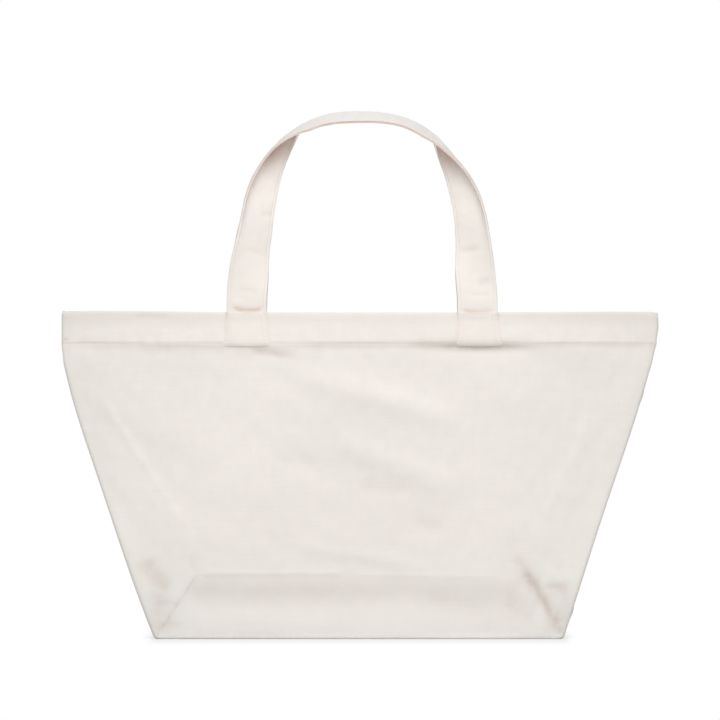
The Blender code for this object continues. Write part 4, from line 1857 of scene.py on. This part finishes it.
    def stitches(self) -> tuple[list[StitchRow], list[StitchRow]]:
        """The topstitching of the loop, and the stitches that hold the ends to the band."""
        skin = self.skin()
        thickness = self.half_thickness
        outer = self.panel.facing.front
        total, sewn = skin.travel[-1], skin.travel[self.sewn_rings]
        loop = np.arange(sewn, total - sewn, self.stitch_pitch)
        inset = self.width / 2 - self.stitch_inset
        held = self.held(np.interp(loop, skin.travel, skin.points[..., 2].mean(axis=1)))
        top = [self.stitch_row(skin, loop, np.full(len(loop), s * inset), face,
                               thickness * (1 - held * (1 - self.sewn_face) * (face == outer))
                               - self.groove + 0.00002)
               for s in (-1, 1) for face in (-1, 1)]
        ends = []
        for mirrored in (False, True):
            rise = np.arange(0.002, sewn - 0.0015, self.stitch_pitch)
            levels = ((0.0022, self.sewn_width / 2 - 0.0035), (sewn - 0.0018, self.width / 2 - 0.003))
            side = self.widths(skin.points[0, 0, 2] + rise) / 2
            rows = [(rise, s * (side - aside)) for aside in (0.0013, 0.006) for s in (-1, 1)]
            for level, reach in levels:
                u = np.arange(-reach, reach, self.stitch_pitch)
                rows.append((np.full(len(u), level), u))
            for travel, u in rows:
                place = total - travel if mirrored else travel
                height = skin.points[0, 0, 2] + travel
                held = self.held(height)
                level = 1 - held + held * self.sewn_level(height, u / (self.widths(height) / 2))
                ends.append(self.stitch_row(skin, place, u, outer, thickness * (level - 0.02)))
        return top, ends

    def build(self, stitching: Stitching, finishes: Finishes) -> list[Piece]:
        """Models the strap and its stitches.

        Args:
            stitching: Lays the stitches.
            finishes: The bag's materials.

        Returns:
            The strap, its topstitching, and the stitches of its sewn ends.
        """
        facing = self.panel.facing
        piece = Workbench.tube(f"{facing.word}_strap", *self.rings())
        Workbench.dress(piece, finishes.strap)
        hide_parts(f"{facing.word}_handle", f"{facing.word}_left_strap_end",
                    f"{facing.word}_right_strap_end")
        top, ends = self.stitches()
        topstitch = stitching.lay(f"{facing.word}_strap_topstitch", top, finishes.thread)
        held = stitching.lay(f"{facing.word}_strap_end_stitches", ends, finishes.thread)
        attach(held, "bag")
        root = (self.shape.handle_offset, facing.value * self.shape.mouth_depth / 2, self.shape.height)
        for bent in (piece, topstitch):
            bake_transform(bent)
        return [piece, topstitch, held]


@dataclass(frozen=True)
class SeamStrip:
    """Two raw edges sewn together, overlocked, and standing inside the bag.

    Attributes:
        name: Name of the CAD node that the strip stands for.
        root: Places along the seam.
        rise: Unit direction from the seam to the free edge.
        through: Unit direction through both layers.
    """

    name: str
    root: Table
    rise: Table
    through: Table
    width: float = 0.0096
    thickness: float = 0.0021
    wave: Three = (0.0007, 0.06, 0.016)
    pitch: float = 0.003
    slant: float = 0.45
    slant_level: float = 0.8
    hold_level: float = 0.58

    def sway(self, path: Table) -> Table:
        """How far the free edge leans to one side at each place."""
        travel = travel_along(path)
        return Ripple(*self.wave, len(self.name)).shape(travel, np.zeros(len(travel)))

    def build(self, stitching: Stitching, finishes: Finishes) -> list[Piece]:
        """Models the strip and its overlocking.

        Args:
            stitching: Lays the thread.
            finishes: The bag's materials.

        Returns:
            The strip and its thread.
        """
        path = evenly(self.root, self.pitch)
        half = self.thickness / 2
        section = np.array([(0.0, -half), (0.5, -half), (0.95, -half), (1.0, -half * 0.6), (0.96, 0.0),
                            (1.0, half * 0.6), (0.95, half), (0.5, half), (0.0, half)])
        lean = self.sway(path)[:, None] * section[None, :, 0] ** 2
        rings = path[:, None] + self.rise * (section[None, :, 0:1] * self.width)
        rings = rings + self.through * (section[None, :, 1] + lean)[..., None]
        around = travel_along(closed(rings))
        along = np.broadcast_to(travel_along(path)[:, None], around.shape)
        raw = np.broadcast_to(section[:, 0] > 0.9, rings.shape[:2])
        piece = Workbench.tube(f"{self.name}_edges", rings, np.stack([around, along], axis=-1),
                               {"soil": raw * 0.15, "edge": raw * 0.5})
        Workbench.dress(piece, finishes.seam)
        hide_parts(self.name)
        thread = stitching.lay(f"{self.name}_overlock", self.overlock(path), finishes.overlock)
        for made in (piece, thread):
            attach(made, "bag")
        return [piece, thread]

    def overlock(self, path: Table) -> list[StitchRow]:
        """Thread that wraps the free edge, and slants down both faces of the strip.

        Args:
            path: Places along the seam, one for each stitch.

        Returns:
            The rows of stitches.
        """
        along = unit(np.gradient(path, axis=0))
        lean = self.sway(path)[:, None]
        rise = np.tile(self.rise, (len(path), 1))
        through = np.tile(self.through, (len(path), 1))
        rows = [StitchRow(path + rise * self.width + through * lean, through, rise, self.thickness + 0.0008)]
        for side in (-1, 1):
            for slant in (self.slant, -self.slant):
                face = path + rise * self.width * self.slant_level + along * slant * 0.001
                out = lean * self.slant_level**2 + side * (self.thickness / 2 + 0.0001)
                rows.append(StitchRow(face + through * out, unit(rise + along * slant), through * side,
                                      0.004, 0.00045))
            out = lean * 0.34 + side * self.thickness / 2
            rows.append(StitchRow(path + rise * self.width * self.hold_level + through * out, along,
                                  through * side, 0.0026, 0.0005))
        return rows

    @classmethod
    def of_side(cls, shape: BagShape, side: Side) -> "SeamStrip":
        """The seam down the middle of a gusset, up to the hem that closes over it."""
        z = np.linspace(shape.floor + shape.seam_allowance + shape.clearance,
                        shape.hem_bottom - SEAM_GAP, 60)
        x = shape.seam_reach(z) + shape.bow(z, side) - shape.lip - SEAM_GAP
        root = np.stack([side.value * x, np.zeros(len(z)), z], axis=1)
        return cls(f"{side.word}_side_seam", root, -side.value * ACROSS, DEEP)

    @classmethod
    def of_corner(cls, shape: BagShape, side: Side) -> "SeamStrip":
        """The seam across an end of the base."""
        reach = shape.base_width / 2 - shape.base_bend - shape.seam_thickness / 2
        half = shape.base_depth / 2 - shape.base_bend - shape.corner_bend
        root = np.array([(side.value * reach, end * half, shape.floor) for end in (-1, 1)])
        return cls(f"{side.word}_corner_seam", root, UP, ACROSS)

    @classmethod
    def of_base(cls, shape: BagShape) -> "SeamStrip":
        """The seam along the middle of the base."""
        reach = shape.base_width / 2 - shape.base_bend - shape.seam_thickness - SEAM_GAP
        root = np.array([(end * reach, 0.0, shape.floor) for end in (-1, 1)])
        return cls("base_seam", root, UP, DEEP)


@dataclass(frozen=True)
class Studio:
    """A pale floor, soft light, and the camera, level and straight in front.

    Attributes:
        lens: The camera's focal length in millimetres.
        field: Width of the picture at the bag's face.
        face_depth: Depth of the face at which that width holds.
        eye: Place of the view's middle, across and up.
    """

    lens: float = 800.0
    sensor: float = 36.0
    field: float = 0.72
    face_depth: float = 0.035
    eye: Two = (0.0009, 0.2785)
    floor_size: float = 30.0
    # Footprint and spread of the floor's shadow region: there it catches real shadow and holds a painted
    # contact shadow
    footing: Two = (0.2, 0.064)
    shadow_spread: Two = (0.008, 0.25)
    ambient: float = 0.45
    aim: Three = (0.0, 0.0, 0.22)

    def place(self, name: str, data: bpy.types.ID, spot: Three) -> Piece:
        """Puts a camera or a lamp into the scene.

        Args:
            name: Its name.
            data: Its settings.
            spot: Where it stands.

        Returns:
            The camera or lamp.
        """
        made = bpy.data.objects.new(name, data)
        made.location = spot
        bpy.context.scene.collection.objects.link(made)
        return made

    def camera(self) -> None:
        """Makes the camera."""
        data = bpy.data.cameras.new("front_view")
        data.lens = self.lens
        data.sensor_width = self.sensor
        data.clip_end = 100.0
        distance = self.field * self.lens / self.sensor
        view = self.place("front_view", data, (self.eye[0], -self.face_depth - distance, self.eye[1]))
        view.rotation_euler = (math.pi / 2, 0.0, 0.0)
        bpy.context.scene.camera = view

    def seen_directly(self, bench: NodeBench) -> Socket:
        """1 for rays that show the background: the camera's, and those through gloss or glass."""
        path = bench.add("LightPath").outputs
        shown = bench.math("MAXIMUM", path["Is Camera Ray"], path["Is Glossy Ray"])
        return bench.math("MAXIMUM", shown, path["Is Transmission Ray"])

    def world(self) -> None:
        """Even light from all round, white where it shows."""
        world = bpy.data.worlds.new("soft_room")
        bpy.context.scene.world = world
        world.use_nodes = True
        bench = NodeBench(world.node_tree)
        strength = bench.spread(self.seen_directly(bench), 0.0, 1.0, self.ambient, 1.0)
        bench.fill(world.node_tree.nodes["Background"], {"Color": WHITE, "Strength": strength})

    def floor(self) -> None:
        """A white floor that keeps the bag's shadow, with a painted contact shadow round its footprint."""
        Workbench.deselect()
        bpy.ops.mesh.primitive_plane_add(size=self.floor_size)
        floor = bpy.context.active_object
        floor.name = "floor"
        made, bench, shader = new_material("white_floor")
        bench.tree.nodes.remove(shader)
        split = bench.add("SeparateXYZ", {0: bench.add("TexCoord").outputs["Object"]})
        past = [bench.math("MAXIMUM", bench.math("SUBTRACT", bench.math("ABSOLUTE", place), reach), 0.0)
                for place, reach in zip(split.outputs, self.footing)]
        gaps = {axis: bench.math("DIVIDE", past[axis], self.shadow_spread[axis]) for axis in (0, 1)}
        away = bench.add("VectorMath", {0: bench.add("CombineXYZ", gaps).outputs[0]}, operation="LENGTH")
        away = away.outputs["Value"]
        fade = bench.spread(away, 0.0, 2.6)
        # Painted contact shadow: the floor's glow dims near the bag's footprint
        painted_shadow = bench.math("EXPONENT", bench.math("MULTIPLY", bench.math("MULTIPLY", away, away), -1.0))
        shadow = bench.mix(fade, (0.4, 0.4, 0.4, 1.0), (0.0, 0.0, 0.0, 1.0))
        glow = bench.math("MULTIPLY_ADD", painted_shadow, -0.17, bench.spread(fade, 0.0, 1.0, 0.66, 1.0))
        both = bench.add("AddShader", {
            0: bench.add("BsdfDiffuse", {"Color": shadow}).outputs[0],
            1: bench.add("Emission", {"Color": WHITE, "Strength": glow}).outputs[0]})
        plain = bench.add("BsdfDiffuse", {"Color": (0.78, 0.78, 0.78, 1.0)})
        choice = bench.add("MixShader", {0: self.seen_directly(bench), 1: plain.outputs[0],
                                         2: both.outputs[0]})
        bench.fill(bench.tree.nodes["Material Output"], {"Surface": choice.outputs[0]})
        floor.data.materials.append(made)

    def lamp(self, name: str, spot: Three, size: float, power: float) -> None:
        """A square soft light that points at the bag's middle.

        Args:
            name: The light's name.
            spot: Where it hangs.
            size: Length of its side.
            power: Its power in watts.
        """
        data = bpy.data.lights.new(name, "AREA")
        data.size = size
        data.energy = power
        light = self.place(name, data, spot)
        light.rotation_mode = "QUATERNION"
        light.rotation_quaternion = (Vector(self.aim) - light.location).to_track_quat("-Z", "Y")

    def build(self) -> None:
        """Makes the stage, the light and the camera."""
        bpy.context.scene.view_settings.view_transform = "Standard"
        self.world()
        self.floor()
        self.lamp("overhead_softbox", (0.05, -1.75, 1.75), 1.6, 34.3)
        self.camera()


def main() -> None:
    """Builds the bag piece by piece, sets it in the studio, and reports what was made."""
    logging.basicConfig(level=logging.INFO, format="%(name)s %(message)s")
    finishes, stitching, shape = Finishes(), Stitching(), BagShape()
    front = Panel(shape, Facing.FRONT, FRONT_CREASES, seed=11)
    back = Panel(shape, Facing.BACK, BACK_CREASES, seed=47)
    sheets, made = [], []
    for panel in (front, back):
        sheets.append(panel.build(finishes.canvas))
        made += [sheets[-1], stitching.hem_row(panel, finishes.thread)]
    for panel, sheet, other in zip((front, back), sheets, sheets[::-1]):
        flat, area = panel.flat_size()
    turns = (Turn(length=0.185, shade=0.95),
             Turn(start=0.034, length=0.177, rising=0.118, rise=0.078, shade=0.9))
    strap = Strap(front, (LEFT_LEG_WRINKLES, RIGHT_LEG_WRINKLES), turns, seed=5)
    made += strap.build(stitching, finishes)
    turns = tuple(replace(turn, lean=math.radians(31), top_stand=math.radians(91), shade=0.4)
                  for turn in turns)
    strap = Strap(back, (BACK_LEG_WRINKLES, BACK_LEG_WRINKLES), turns, seed=8, lift=0.003)
    made += strap.build(stitching, finishes)
    seams = [seam(shape, side) for side in Side for seam in (SeamStrip.of_side, SeamStrip.of_corner)]
    for seam in (*seams, SeamStrip.of_base(shape)):
        made += seam.build(stitching, finishes)
    Studio().build()
    for piece in made:
        LOG.info("%s: %d faces", piece.name, len(piece.data.polygons))


if __name__ == "__main__":
    main()
